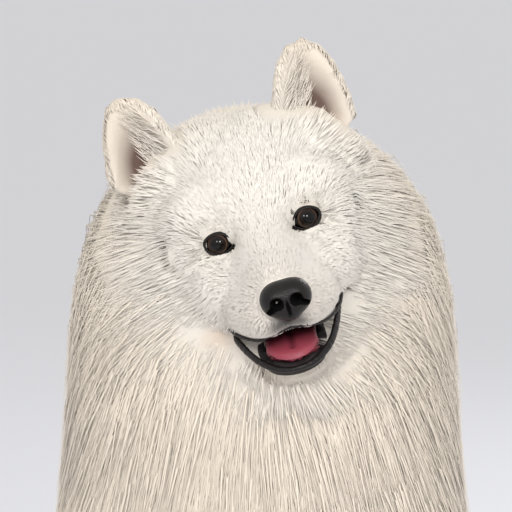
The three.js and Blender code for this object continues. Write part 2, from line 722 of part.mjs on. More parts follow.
// Claws: short horn at the tip of each toe
const clawRadius = 4;
const clawLength = 16;
const clawAhead = 22;
const clawPitch = 115;
function claws(foot, mirror, grow) {
  return toesOf(foot).map(([x, y]) => {
    const cone = new THREE.ConeGeometry(clawRadius + grow, clawLength + 2 * grow, 4);
    cone.rotateX(radians(clawPitch));
    cone.translate(...mirror([x, y - clawAhead, toeHeight - 2]));
    return solidOf(cone);
  });
}

// The nodes, in the order in which each is cut clear of those before it
const white = { color: 0xf1ece2, roughness: 0.85, metalness: 0 };
const finishes = {
  coat: white,
  nose: { color: 0x1c1817, roughness: 0.4, metalness: 0 },
  eye: { color: 0x1a0f0a, roughness: 0.08, metalness: 0 },
  tongue: { color: 0xb8505a, roughness: 0.45, metalness: 0 },
};
const pieces = [];
const piece = (name, finish, make) => pieces.push({ name, finish, make });
const joined = (solid, others) => Manifold.union([solid, ...others]);

// Head
for (const [word, side] of Object.entries(sides)) {
  piece(`eye_${word}`, "eye", (grow) => put(eyeball(side, grow), headPlace));
}
piece("nose", "nose", (grow) => {
  const solid = sleeve(noseField, noseSpine, { ...detail.nose, grow });
  const holes = joined(groove(), bothSides(nostril));
  return put(grow > 0 ? solid : solid.subtract(holes), headPlace);
});
piece("tongue", "tongue", (grow) =>
  put(sleeve(tongueField, tongueSpine, { ...detail.tongue, grow }), jawPlace),
);
piece("head", "coat", (grow) => {
  const skull = sleeve(headField, headSpine, { ...detail.head, grow });
  const lip = rod(upperLip, upperLipRadius + grow, lipSteps);
  const whole = joined(skull, [lip, ...bothSides((side) => lid(side, grow))]);
  const open = cutAt(whole, napeCut, 1, grow).subtract(joined(palate(grow), bothSides(almond)));
  return joined(put(open, headPlace), lockSolids(cheekLocks, grow));
});
for (const [word, side] of Object.entries(sides)) {
  piece(`ear_${word}`, "coat", (grow) => put(earSolid(side, grow), headPlace));
}
piece("lower_jaw", "coat", (grow) => {
  const flesh = sleeve(jawField, jawSpine, { ...detail.jaw, grow });
  const bone = cutAt(cutAt(flesh, jawTop, 1, grow), jawBack, 1, grow);
  const chin = bone.add(rod(lowerLip, lowerLipRadius + grow, lipSteps));
  return put(chin.subtract(trough(grow)), jawPlace);
});

// Trunk in three lengths
const trunk = (grow) => sleeve(trunkField, trunkSpine, { ...detail.trunk, grow });
piece("neck", "coat", (grow) => joined(cutAt(trunk(grow), neckCut, 1, grow), lockSolids(neckLocks, grow)));
piece("torso", "coat", (grow) =>
  joined(cutAt(cutAt(trunk(grow), neckCut, -1, grow), rumpCut, 1, grow), lockSolids(torsoLocks, grow)),
);
piece("rump", "coat", (grow) => joined(cutAt(trunk(grow), rumpCut, -1, grow), lockSolids(rumpLocks, grow)));

// Forelegs, with feathering down the back of each
const armRows = [[0.02, 0], [0.2, 0]];
const armSpacing = 74;
const featherPlaces = [0.42, 0.58, 0.74];
for (const [word, mirror] of Object.entries(mirrors)) {
  const spine = curve(
    mirror([76, 44, 340]), mirror(elbow), mirror([70, 50, 190]), mirror(wrist), mirror([66, 16, 72]),
  );
  const armRoots = rootsOn(foreFields[word], spine, armRows, armSpacing).filter(
    (p) => isOpen(p, foreFields[word]) && Math.abs(p.x) > elbow[0],
  );
  const armLocks = traceAll(armRoots, bodyLie, armLock);
  const feathers = featherPlaces.map((t) => {
    const { centre, way } = outOf(spine, acrossX, t, radians(90 + draw(-14, 14)), 0);
    if (way.y < 0) way.negate();
    const root = centre.addScaledVector(way, reachTo(foreFields[word], centre, way, 0));
    return traceLock(root, bodyField, bodyLie, featherLock);
  });
  piece(`forepaw_${word}`, "coat", (grow) => {
    const [x, y] = forePaw;
    const pawSpine = curve(mirror([x, y - 14, 19]), mirror([x, y + 18, 26]));
    const field = blend(pawMasses(foreFoot, mirror), pawBlend);
    return joined(sleeve(field, pawSpine, { ...detail.forepaw, grow }), claws(foreFoot, mirror, grow));
  });
  piece(`foreleg_${word}`, "coat", (grow) =>
    joined(sleeve(foreFields[word], spine, { ...detail.foreleg, grow }), [
      ...lockSolids(armLocks, grow),
      ...lockSolids(feathers, grow),
    ]),
  );
}

// Hind legs
const thighSpacing = 106;
const thighRows = [[0, -24], [0.3, 0], [0.8, 0], [1, 28]];
for (const [word, mirror] of Object.entries(mirrors)) {
  const spine = curve(mirror([112, 250, 120]), mirror([112, 200, 150]), mirror([118, 140, 180]));
  const outer = (p) => Math.abs(p.x) > 96 || p.y > 300;
  const roots = rootsOn(thighFields[word], spine, thighRows, thighSpacing).filter(
    (p) => isOpen(p, thighFields[word]) && outer(p) && slope(thighFields[word], p).z > underside,
  );
  const locks = traceAll(roots, bodyLie, thighLock);
  piece(`thigh_${word}`, "coat", (grow) =>
    joined(sleeve(thighFields[word], spine, { ...detail.thigh, grow }), lockSolids(locks, grow)),
  );
  piece(`hind_foot_${word}`, "coat", (grow) => {
    const field = blend([...hindMasses(mirror), ...pawMasses(hindFoot, mirror)], pawBlend);
    const [x, y] = hindPaw;
    const footSpine = curve(mirror([hock[0], hock[1] - 10, 40]), mirror([122, 180, 32]), mirror([x, y, 24]));
    return joined(sleeve(field, footSpine, { ...detail.hindFoot, grow }), claws(hindFoot, mirror, grow));
  });
}

// Tail in two lengths
const tail = (grow) => sleeve(tailField, tailPath, { ...detail.tail, side: acrossZ, grow });
piece("tail_base", "coat", (grow) =>
  joined(cutAt(tail(grow), tailCut, 1, grow), lockSolids(tailBaseLocks, grow)),
);
piece("tail_plume", "coat", (grow) =>
  joined(cutAt(tail(grow), tailCut, -1, grow), lockSolids(tailPlumeLocks, grow)),
);

const nodes = new Map();
let taken = beyond(v3(0, 0, 0), v3(0, 0, -1));
for (const { name, finish, make } of pieces) {
  nodes.set(name, { finish, solid: largest(make(0).subtract(taken)) });
  taken = taken.add(make(gap));
}

// The group, moved so that its origin is the middle of its box at floor level
const dog = new THREE.Group();
for (const [name, { finish, solid }] of nodes) {
  const { vertProperties, triVerts } = solid.getMesh();
  const geometry = new THREE.BufferGeometry();
  geometry.setAttribute("position", new THREE.BufferAttribute(new Float32Array(vertProperties), 3));
  geometry.setIndex(new THREE.BufferAttribute(new Uint32Array(triVerts), 1));
  const part = new THREE.Mesh(geometry, new THREE.MeshStandardMaterial(finishes[finish]));
  part.name = name;
  dog.add(part);
}
const box = new THREE.Box3().setFromObject(dog);
const middle = box.getCenter(v3(0, 0, 0));
dog.position.set(-middle.x, -middle.y, -box.min.z);

export default dog;
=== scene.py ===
import math

import bpy
import numpy as np
from mathutils import Euler, Matrix, Vector
from mathutils.bvhtree import BVHTree


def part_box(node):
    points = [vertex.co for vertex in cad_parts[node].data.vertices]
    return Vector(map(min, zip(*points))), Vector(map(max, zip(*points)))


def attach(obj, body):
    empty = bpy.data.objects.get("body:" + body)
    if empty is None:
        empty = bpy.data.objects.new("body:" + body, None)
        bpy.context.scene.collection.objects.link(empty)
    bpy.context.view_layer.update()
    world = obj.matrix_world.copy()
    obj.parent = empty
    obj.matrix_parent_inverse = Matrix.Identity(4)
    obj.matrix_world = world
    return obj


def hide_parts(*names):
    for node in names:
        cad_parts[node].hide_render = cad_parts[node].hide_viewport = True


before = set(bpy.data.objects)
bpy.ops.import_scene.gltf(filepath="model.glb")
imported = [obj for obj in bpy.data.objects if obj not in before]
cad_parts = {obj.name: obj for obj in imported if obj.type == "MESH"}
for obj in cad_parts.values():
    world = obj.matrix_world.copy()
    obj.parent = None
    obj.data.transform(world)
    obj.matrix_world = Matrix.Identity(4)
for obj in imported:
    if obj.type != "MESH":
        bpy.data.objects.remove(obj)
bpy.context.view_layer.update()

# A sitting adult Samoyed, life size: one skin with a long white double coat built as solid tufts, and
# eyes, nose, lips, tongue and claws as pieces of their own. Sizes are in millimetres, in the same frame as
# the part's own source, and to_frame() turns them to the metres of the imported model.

rng = np.random.default_rng(7)

# Driving sizes, as in the part's source
MM = 0.001
EYE_HEIGHT = 668
EYE_REACH = 50
HEAD_ROLL = 16.5
HEAD_YAW = 1
JAW_ROLL = 2.5
BACK_SLOPE = 56
RUFF, BODY, THIGH, ARM, TAIL = 72, 52, 48, 46, 74
CHEEK, CROWN, BROW, MUZZLE, LEG, PAW, SHANK, TOE = 14, 12, 6, 3, 8, 4, 20, 2.5
BODY_BLEND, LIMB_BLEND, HEAD_BLEND, NOSE_BLEND, PAW_BLEND, LIE_BLEND = 44, 36, 16, 7, 9, 16
NECK_BLEND = 24
MOUTH_BLEND = 3


def moved(x, y, z):
    return np.array(Matrix.Translation((x, y, z)))


def turned(axis, degrees):
    return np.array(Matrix.Rotation(math.radians(degrees), 4, axis))


def put(points, place):
    return np.asarray(points, float) @ place[:3, :3].T + place[:3, 3]


def aim(ways, place):
    return np.asarray(ways, float) @ place[:3, :3].T


def unit(ways):
    return ways / np.maximum(np.linalg.norm(ways, axis=-1, keepdims=True), 1e-9)


def flip(point):
    return [-point[0], point[1], point[2]]


# The head's own frame: origin midway between the eyes, muzzle towards -Y, crown towards +Z
JAW_PIVOT = (0, 40, -30)
head_place = moved(0, -EYE_REACH, EYE_HEIGHT) @ turned("Y", -HEAD_ROLL) @ turned("Z", HEAD_YAW)
head_back = np.linalg.inv(head_place)
jaw_place = head_place @ moved(*JAW_PIVOT) @ turned("Y", JAW_ROLL) @ moved(*[-v for v in JAW_PIVOT])
jaw_back = np.linalg.inv(jaw_place)

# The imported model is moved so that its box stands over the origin: the eyes say by how much
EYE_RADIUS = 11
EYE_INSET = 30.5
EYE_DEPTH = 3
EYE_TURN = 12
EYE_SLANT = 8
eye_middles = [sum(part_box(n), Vector()) / 2 for n in ("eye_left", "eye_right")]
raw_middle = put([[0, EYE_DEPTH, 0]], head_place)[0]
shift = np.array(sum(eye_middles, Vector()) / 2) / MM - raw_middle


def to_frame(points):
    return (np.asarray(points, float) + shift) * MM


def eye_place(side):
    place = moved(side * EYE_INSET, EYE_DEPTH, 0)
    return head_place @ place @ turned("Z", side * EYE_TURN) @ turned("Y", -side * EYE_SLANT)


def eye_local(points, side):
    return put(points, np.linalg.inv(eye_place(side)))


# Fields of distance to the body's masses, with a share of the coat's depth over the flesh

def egg(centre, sizes, coat=0.0, turn=(0, 0, 0)):
    axes = np.array(Euler([math.radians(a) for a in turn], "ZYX").to_matrix())
    middle = np.array(centre, float)
    half = np.array(sizes, float)

    def near(points, fur):
        radii = half + coat * fur[:, None]
        q = (points - middle) @ axes / radii
        size = np.sqrt((q * q).sum(1))
        steep = np.sqrt(((q / radii) ** 2).sum(1))
        return size * (size - 1) / np.maximum(steep, 1e-9)

    near.start = ("egg", middle, half, axes)
    near.middle, near.reach = middle, half.max() + coat
    return near


def limb(first, r1, last, r2, coat=0.0):
    start, end = np.array(first, float), np.array(last, float)
    along = end - start

    def near(points, fur):
        q = points - start
        t = np.clip(q @ along / (along @ along), 0, 1)
        away = np.linalg.norm(q - t[:, None] * along, axis=1)
        return away - (r1 + (r2 - r1) * t) - coat * fur

    near.start = ("limb", start, end, (r1, r2))
    near.middle, near.reach = (start + end) / 2, np.linalg.norm(along) / 2 + max(r1, r2) + coat
    return near


def pair(centre, sizes, coat=0.0, turn=(0, 0, 0)):
    tx, ty, tz = turn
    return [egg(centre, sizes, coat, turn), egg(flip(centre), sizes, coat, (tx, -ty, -tz))]


def union(values, width):
    """Distances to several forms as one, rounded over a width where they meet."""
    nearest = values[0]
    for value in values[1:]:
        share = np.maximum(width - np.abs(nearest - value), 0) / width
        nearest = np.minimum(nearest, value) - share * share * width / 4
    return nearest


FAR = 80  # beyond this from a mass, a rough distance is enough


def blend(masses, width, place=None):
    back = None if place is None else np.linalg.inv(place)

    def near(points, fur):
        local = points if back is None else put(points, back)
        nearest = None
        for mass in masses:
            value = np.linalg.norm(local - mass.middle, axis=1) - mass.reach
            close = value < FAR
            if close.any():
                value[close] = mass(local[close], fur[close])
            nearest = value if nearest is None else union([nearest, value], width)
        return nearest

    near.masses, near.place = masses, np.eye(4) if place is None else place
    return near


# Trunk
TILT = (90 - BACK_SLOPE, 0, 0)
trunk = blend([
    limb((0, 56, 500), 62, (0, 54, 540), 58, RUFF),
    egg((0, 58, 596), (62, 34, 56), RUFF),
    egg((0, 78, 634), (52, 28, 42), RUFF),
    egg((0, 8, 505), (48, 28, 50), RUFF),
    egg((0, 100, 400), (84, 86, 144), BODY, TILT),
    egg((0, 16, 430), (58, 42, 76), BODY),
    *pair((54, 50, 410), (38, 52, 86), BODY, (8, 0, 0)),
    *pair((24, 50, 545), (30, 34, 34), RUFF),
    egg((0, 205, 262), (78, 84, 130), BODY, TILT),
    egg((0, 285, 132), (84, 84, 98), BODY, TILT),
], BODY_BLEND)

# Head and jaw
head = blend([
    egg((0, 62, 18), (52, 54, 48), CROWN),
    *pair((26, 64, 42), (18, 24, 28), CROWN),
    *pair((44, 64, 46), (20, 14, 20), CROWN),
    *pair((58, 56, 34), (18, 15, 16), CROWN),
    egg((0, 68, -2), (72, 50, 40), CHEEK),
    *pair((44, 56, -30), (22, 36, 28), CHEEK),
    egg((0, 30, 16), (40, 32, 32), BROW),
    *pair((25, 9, 18), (15, 11, 8), BROW),
    egg((0, -20, -28), (28, 34, 23), MUZZLE),
    egg((0, -48, -36), (22, 34, 19), MUZZLE),
    egg((0, -70, -41), (19, 17, 14), MUZZLE),
    *pair((15, -57, -50), (11, 24, 11), MUZZLE),
    *pair((25, -32, -46), (11, 26, 12), MUZZLE),
    limb((0, -8, -8), 11, (0, -76, -27), 8, MUZZLE),
    *pair((34, 14, -20), (15, 18, 12), BROW),
    egg((0, 54, -50), (38, 42, 22), CHEEK),
    limb((0, 16, 18), 16, (0, -34, -15), 11, 4),
    *pair((35, -1, -31), (18, 25, 19), BROW),
    *pair((46, 23, 16), (16, 18, 14), BROW),
    *pair((48, 19, -6), (13, 14, 10), BROW),
], HEAD_BLEND, head_place)
jaw = blend([
    egg((0, -47, -86), (19, 18, 9.5), MUZZLE),
    egg((0, -22, -77), (25, 32, 15), MUZZLE),
    egg((0, 16, -64), (33, 38, 22), BROW),
], HEAD_BLEND, jaw_place)

# Limbs, left side first
ELBOW, WRIST, FORE_PAW = [74, 74, 290], [66, 34, 108], [67, -16, 0]
KNEE, HOCK, HIND_PAW = [128, 122, 196], [116, 262, 50], [126, 96, 0]
THIGH_TILT = (-26, 0, 6)
TOE_SPREAD, TOE_SIZES, TOE_HEIGHT, TOE_REACH = 17.5, (12, 21, 16), 15, 0.62
TOES = ((-1.5, 0.72), (-0.5, 1), (0.5, 1), (1.5, 0.72))
FORE_FOOT = (FORE_PAW, 38, 4)
HIND_FOOT = (HIND_PAW, 40, 10)


def toes_of(foot):
    (x, y, _), length, turn = foot
    lean = math.sin(math.radians(turn))
    return [
        [x + at * TOE_SPREAD + lean * length * reach, y - length * reach * TOE_REACH, TOE_HEIGHT]
        for at, reach in TOES
    ]


def paw_masses(foot, mirror):
    x, y, _ = foot[0]
    return [
        egg(mirror([x, y + 6, 22]), (26, 32, 19), PAW),
        egg(mirror([x, y + 22, 30]), (22, 24, 24), PAW),
        *[egg(mirror(toe), TOE_SIZES, TOE) for toe in toes_of(foot)],
    ]


SIDES = {"left": (1, list), "right": (-1, flip)}
limbs = {}
for word, (side, mirror) in SIDES.items():
    limbs["foreleg_" + word] = blend([
        limb(mirror([74, 28, 380]), 46, mirror(ELBOW), 36, ARM),
        limb(mirror(ELBOW), 34, mirror(WRIST), 21, LEG),
        limb(mirror(WRIST), 21, mirror([66, 4, 52]), 19, LEG),
    ], LIMB_BLEND)
    tilt = (THIGH_TILT[0], 0, side * THIGH_TILT[2])
    limbs["thigh_" + word] = blend([
        egg(mirror([98, 214, 150]), (46, 104, 82), THIGH, tilt),
        limb(mirror(KNEE), 40, mirror(HOCK), 24, SHANK),
    ], LIMB_BLEND)
    limbs["forepaw_" + word] = blend(paw_masses(FORE_FOOT, mirror), PAW_BLEND)
    limbs["hind_foot_" + word] = blend([
        limb(mirror(HOCK), 24, mirror([124, 150, 30]), 22, LEG),
        *paw_masses(HIND_FOOT, mirror),
    ], PAW_BLEND)

# Tail
TAIL_POINTS = np.array([
    (0, 330, 120), (6, 396, 86), (28, 452, 66), (68, 494, 58), (116, 512, 52), (164, 506, 46),
], float)
TAIL_BONE = [22, 20, 17, 14, 11, 8]
TAIL_COAT = [0.55, 0.78, 0.95, 1, 0.9, 0.55]


def tail_limb(i):
    first = limb(TAIL_POINTS[i], TAIL_BONE[i], TAIL_POINTS[i + 1], TAIL_BONE[i + 1])
    along = TAIL_POINTS[i + 1] - TAIL_POINTS[i]

    def near(points, fur):
        t = np.clip((points - TAIL_POINTS[i]) @ along / (along @ along), 0, 1)
        deep = TAIL_COAT[i] + (TAIL_COAT[i + 1] - TAIL_COAT[i]) * t
        return first(points, fur) - TAIL * deep * fur

    near.start, near.middle, near.reach = first.start, first.middle, first.reach + TAIL
    return near


tail = blend([tail_limb(i) for i in range(len(TAIL_POINTS) - 1)], LIMB_BLEND)


# Eye openings and lids, in each eye's own frame
ALMOND_WIDTH, ALMOND_HEIGHT = 20, 13.8
ALMOND_SHIFT = 1.2  # towards the nose
LID_WALL = 2.0
LID_WIDEN = 1.14
LID_COAT = 1.6
LID_BLEND = 5
SOCKET_GAP, SOCKET_DEPTH = 4, 2


def almond_edge(local, side):
    """How far a point lies outside the almond of the open lids, seen along the eye's axis."""
    x = (local[:, 0] + side * ALMOND_SHIFT) / (ALMOND_WIDTH / 2)
    z = local[:, 2] / (ALMOND_HEIGHT / 2)
    return (np.sqrt(x * x + z * z * almond_pinch(x, side)) - 1) * ALMOND_HEIGHT / 2


def almond_pinch(x, side):
    """How much lower than an ellipse the opening is, most at the corner by the nose."""
    return 1 + 0.25 * x * x + 1.3 * np.clip(-side * x, 0, 1) ** 3


def lid_ball(local, fur):
    """Distance to the swell that the eyeball makes under its lids, with a thin coat over it."""
    stretched = local / np.array([LID_WIDEN, 1, 1])
    return np.linalg.norm(stretched, axis=1) - (EYE_RADIUS + LID_WALL - 1) - LID_COAT * fur


def with_eyes(points, value):
    for side in (1, -1):
        local = eye_local(points, side)
        value = union([value, lid_ball(local, 0)], LID_BLEND)
        round_eye = np.linalg.norm(local, axis=1) - EYE_RADIUS - SOCKET_GAP
        hollow = np.maximum(almond_edge(local, side), round_eye)
        value = np.maximum(value, -np.maximum(hollow, local[:, 1] + SOCKET_DEPTH))
    return value


PALATE = ((0, -42, -68), (18, 34, 12))
TROUGH = ((0, -43, -71), (20.5, 31, 15))
palate = blend([egg(*PALATE)], 1, head_place)
trough = blend([egg(*TROUGH)], 1, jaw_place)


def skull_field(points, fur):
    return union([head(points, fur), jaw(points, fur)], MOUTH_BLEND)


def coat_field(points, fur):
    """The whole dog, at a share of the coat's depth over the flesh."""
    trunk_side = union([field(points, fur) for field in (trunk, tail, *limbs.values())], LIE_BLEND)
    return union([trunk_side, skull_field(points, fur)], NECK_BLEND)


def fur_field(points, fur):
    """The coat's surface with the swell of the eyes, for the fur of the face."""
    value = coat_field(points, fur)
    for side in (1, -1):
        value = union([value, lid_ball(eye_local(points, side), fur)], LID_BLEND)
    return value


def skin_field(points, fur):
    value = with_eyes(points, coat_field(points, fur))
    value = np.maximum(value, -palate(points, fur))
    return np.maximum(value, -trough(points, fur))


STEP, LEAST_STEEP = 0.4, 0.15


def sense(field, points, fur):
    """A field's value at each point, and its slope there."""
    value = field(points, fur)
    ways = np.empty_like(points)
    for axis in range(3):
        ahead = points.copy()
        ahead[:, axis] += STEP
        ways[:, axis] = (field(ahead, fur) - value) / STEP
    return value, ways


def settle(field, points, fur, rounds=3, most=8.0):
    """Moves points along the slope of a field until they lie on its surface."""
    points = points.copy()
    for _ in range(rounds):
        value, way = sense(field, points, fur)
        steep = np.maximum((way * way).sum(1), LEAST_STEEP)
        step = np.clip(value / steep, -most, most)
        points -= way * step[:, None]
    return points, unit(way)


# Blender helpers

def filled(count, value=0.0):
    return np.full(count, value)


def read(rows, name, width, kind=np.float32):
    """One value of each mesh element as an array."""
    flat = np.empty(len(rows) * width, kind)
    rows.foreach_get(name, flat)
    return flat.reshape(-1, width) if width > 1 else flat


def choose(*things):
    """Selects only these, with the first one active."""
    bpy.ops.object.select_all(action="DESELECT")
    for thing in things:
        thing.select_set(True)
    bpy.context.view_layer.objects.active = things[0]


def points_of(thing):
    return read(thing.data.vertices, "co", 3).astype(float)


def set_points(thing, points):
    thing.data.vertices.foreach_set("co", np.asarray(points, np.float32).ravel())
    thing.data.update()


def joined(name, things):
    choose(*things)
    bpy.ops.object.transform_apply(location=True, rotation=True, scale=True)
    if len(things) > 1:
        bpy.ops.object.join()
    made = bpy.context.view_layer.objects.active
    made.name = name
    made.data.name = name
    return made


def modify(thing, kind, **settings):
    choose(thing)
    modifier = thing.modifiers.new(kind.lower(), kind)
    for name, value in settings.items():
        setattr(modifier, name, value)
    bpy.ops.object.modifier_apply(modifier=modifier.name)
    return thing


def smooth(thing):
    thing.data.polygons.foreach_set("use_smooth", [True] * len(thing.data.polygons))
    thing.data.update()


def mass_start(mass, place):
    """A primitive for one mass, at its size and place."""
    kind, first, second, third = mass.start
    if kind == "egg":
        turn = np.eye(4)
        turn[:3, :3] = place[:3, :3] @ third
        bpy.ops.mesh.primitive_uv_sphere_add(segments=28, ring_count=18, radius=1)
        made = bpy.context.active_object
        turn[:3, 3] = to_frame(put([first], place)[0])
        made.matrix_world = Matrix(turn) @ Matrix.Diagonal((*(second * MM), 1))
        return [made]
    start, end = put([first, second], place)
    balls = []
    count = max(3, int(np.linalg.norm(end - start) / 12))
    for t in np.linspace(0, 1, count):
        radius = third[0] + (third[1] - third[0]) * t
        at = to_frame(start + (end - start) * t)
        bpy.ops.mesh.primitive_uv_sphere_add(segments=20, ring_count=12, radius=radius * MM, location=at)
        balls.append(bpy.context.active_object)
    return balls


ALL_FIELDS = (trunk, head, jaw, tail, *limbs.values())


def all_masses():
    """Primitives for all the masses of the body."""
    starts = []
    for field in ALL_FIELDS:
        for mass in field.masses:
            starts += mass_start(mass, field.place)
    return starts


# Ears: cupped, thick, with rounded tips
EAR_HEIGHT, EAR_HALF, EAR_FLAT = 75, 33, 0.48
EAR_AT = {1: (55, 60, 45), -1: (64, 60, 42)}
EAR_LEAN, EAR_TURN, EAR_NOD = 5, 14, 4
CUP_SHIFT, CUP_TOP, CUP_WALL = -8, 12, 8


def ear_place(side):
    x, y, z = EAR_AT[side]
    place = moved(side * x, y, z)
    leaning = turned("Y", side * EAR_LEAN) @ turned("Z", side * EAR_TURN) @ turned("X", EAR_NOD)
    return head_place @ place @ leaning


EAR_SHARES = ((-0.21, 0.92), (0.06, 1), (0.34, 0.92), (0.64, 0.74), (0.9, 0.44), (1, 0.1))


def ear_start(side, height, half, shift_y):
    levels = np.array([a for a, _ in EAR_SHARES]) * height
    widths = np.array([b for _, b in EAR_SHARES]) * half
    bpy.ops.mesh.primitive_uv_sphere_add(segments=28, ring_count=24, radius=1)
    made = bpy.context.active_object
    ball = points_of(made)
    level = (ball[:, 2] + 1) / 2 * (levels[-1] - levels[0]) + levels[0]
    wide = np.interp(level, levels, widths)
    round_ = unit(np.column_stack([ball[:, 0], ball[:, 1]])) * (1 - np.abs(ball[:, 2]) ** 14)[:, None]
    shaped = np.column_stack([round_[:, 0] * wide, round_[:, 1] * wide * EAR_FLAT + shift_y, level])
    set_points(made, to_frame(put(shaped, ear_place(side))))
    return made


def ear_body(side):
    outer = ear_start(side, EAR_HEIGHT, EAR_HALF, 0)
    cup = ear_start(side, EAR_HEIGHT - CUP_TOP, EAR_HALF - CUP_WALL, CUP_SHIFT)
    modify(outer, "BOOLEAN", operation="DIFFERENCE", object=cup, solver="EXACT")
    bpy.data.objects.remove(cup)
    return outer


# The skin: one surface over all the flesh
VOXEL = 5.5
skin = joined("skin", [*all_masses(), ear_body(1), ear_body(-1)])
modify(skin, "REMESH", mode="VOXEL", voxel_size=VOXEL * MM)
for hollow in (palate, trough):
    cavity = joined("cavity", mass_start(hollow.masses[0], hollow.place))
    modify(skin, "BOOLEAN", operation="DIFFERENCE", object=cavity, solver="EXACT")
    bpy.data.objects.remove(cavity)
modify(skin, "REMESH", mode="VOXEL", voxel_size=VOXEL * MM)


def from_frame(points):
    return np.asarray(points, float) / MM - shift


def ear_local(points, side):
    return put(points, np.linalg.inv(ear_place(side)))


EAR_ROOM, TIP_ROOM, EAR_FROM, EAR_FADE = 9, 12, 2, 10


def ear_share(points):
    """1 where a point belongs to an ear, fading to 0 on the skull."""
    share = np.zeros(len(points))
    for side in (1, -1):
        local = ear_local(points, side)
        inside = (np.abs(local[:, 0]) < EAR_HALF + EAR_ROOM) & (np.abs(local[:, 1]) < EAR_HALF)
        up = np.clip((local[:, 2] - EAR_FROM) / EAR_FADE, 0, 1)
        share = np.maximum(share, np.where(inside & (local[:, 2] < EAR_HEIGHT + TIP_ROOM), up, 0))
    return share


def refine(thing, wanted):
    """Divides the faces whose middles a test picks out."""
    picked = wanted(from_frame(read(thing.data.polygons, "center", 3)))
    thing.data.polygons.foreach_set("select", picked)
    thing.data.vertices.foreach_set("select", np.zeros(len(thing.data.vertices), bool))
    bpy.ops.object.mode_set(mode="EDIT")
    bpy.ops.mesh.select_mode(type="FACE")
    bpy.ops.mesh.subdivide(number_cuts=1)
    bpy.ops.object.mode_set(mode="OBJECT")


def of_skull(points):
    none = filled(len(points))
    return skull_field(points, none) < trunk(points, none)


HEAD_REAR, FACE_REAR, FACE_HALF = 75, 14, 50


def on_head(points):
    local = put(points, head_back)
    return (local[:, 1] < HEAD_REAR) & (of_skull(points) | (ear_share(points) > 0))


def on_face(points):
    local = put(points, head_back)
    return (local[:, 1] < FACE_REAR) & (np.abs(local[:, 0]) < FACE_HALF) & of_skull(points)


choose(skin)
refine(skin, on_head)
refine(skin, on_face)


def settle_skin(rounds):
    raw = from_frame(points_of(skin))
    ear = ear_share(raw)[:, None]
    done, _ = settle(skin_field, raw, filled(len(raw)), rounds, 5.0)
    set_points(skin, to_frame(raw * ear + done * (1 - ear)))


settle_skin(3)
modify(skin, "SMOOTH", factor=0.5, iterations=3)
ear_group = skin.vertex_groups.new(name="ears")
ear_group.add(np.flatnonzero(ear_share(from_frame(points_of(skin))) > 0.2).tolist(), 1.0, "REPLACE")
modify(skin, "SMOOTH", factor=0.5, iterations=5, vertex_group="ears")
settle_skin(2)
smooth(skin)

# Where each thing on the head lies, for the coat's masks and tints

def curve_points(points, count=60):
    """A smooth line through points, of even steps."""
    points = np.array(points, float)
    padded = np.vstack([2 * points[0] - points[1], points, 2 * points[-1] - points[-2]])
    made = []
    for i in range(len(points) - 1):
        a, b, c, d = padded[i:i + 4]
        for t in np.linspace(0, 1, 12, endpoint=False):
            made.append(0.5 * (2 * b + (c - a) * t + (2 * a - 5 * b + 4 * c - d) * t * t
                               + (3 * b - a - 3 * c + d) * t ** 3))
    made.append(points[-1])
    made = np.array(made)
    steps = np.r_[0, np.cumsum(np.linalg.norm(np.diff(made, axis=0), axis=1))]
    even = np.linspace(0, steps[-1], count)
    return np.column_stack([np.interp(even, steps, made[:, k]) for k in range(3)])


UPPER_LIP = [  # from the dog's right, whose corner is drawn further up, as in the photograph
    (-45, -13, -49), (-38, -37, -61), (-24, -61, -67), (-10, -77, -64), (0, -81, -62),
    (10, -77, -64), (24, -61, -67), (36, -38, -63), (42, -16, -53),
]
LOWER_LIP = [
    (-42, -10, -55), (-35, -32, -70), (-25, -51, -82), (-13, -63, -88.5), (0, -67, -90),
    (13, -63, -88.5), (25, -51, -82), (33, -33, -72), (38, -12, -60),
]
upper_lip = put(curve_points(UPPER_LIP), head_place)
lower_lip = put(curve_points(LOWER_LIP), jaw_place)


def gap_to(points, line):
    """Distance from each point to the nearest point of a line, and that point's number."""
    away = np.full(len(points), 1e9)
    which = np.zeros(len(points), int)
    for i, spot in enumerate(line):
        d = np.linalg.norm(points - spot, axis=1)
        near = d < away
        away[near], which[near] = d[near], i
    return away, which


NOSE_AT = np.array([3.2, -89, -37.5])
NOSE_MASSES = [
    egg(NOSE_AT, (15, 11.5, 11.5)),
    egg(NOSE_AT + (8, 0, -1), (8.5, 10.5, 10)),
    egg(NOSE_AT + (-8, 0, -1), (8.5, 10.5, 10)),
    egg(NOSE_AT + (0, -2, -8.5), (6.5, 8, 7.5)),
]
nose_field = blend(NOSE_MASSES, NOSE_BLEND, head_place)


def along_lip(line, depth, axis):
    """A lip's half width or height at a depth in the head."""
    half = put(line, head_back)[: len(line) // 2 + 1][::-1]
    return np.interp(depth, half[:, 1], np.abs(half[:, 0]) if axis == 0 else half[:, 2])


LINING, MOUTH_FRONT, MOUTH_REAR = 1.6, -80, 4


def mouth_inside(points, around=0.0, low=0.0):
    """True for points in the open mouth or on its lining, or this far around it or below the lower lip."""
    none = filled(len(points))
    local = put(points, head_back)
    across, depth, level = np.abs(local[:, 0]), local[:, 1], local[:, 2]
    hollow = np.minimum(palate(points, none), trough(points, none)) < LINING + around
    between = level < along_lip(upper_lip, depth, 2) + 0.5 + around
    between &= level > along_lip(lower_lip, depth, 2) + 1 - low
    between &= (across < along_lip(lower_lip, depth, 0) + 0.5 + around) & (depth < MOUTH_REAR)
    return (hollow | between) & (depth > MOUTH_FRONT)


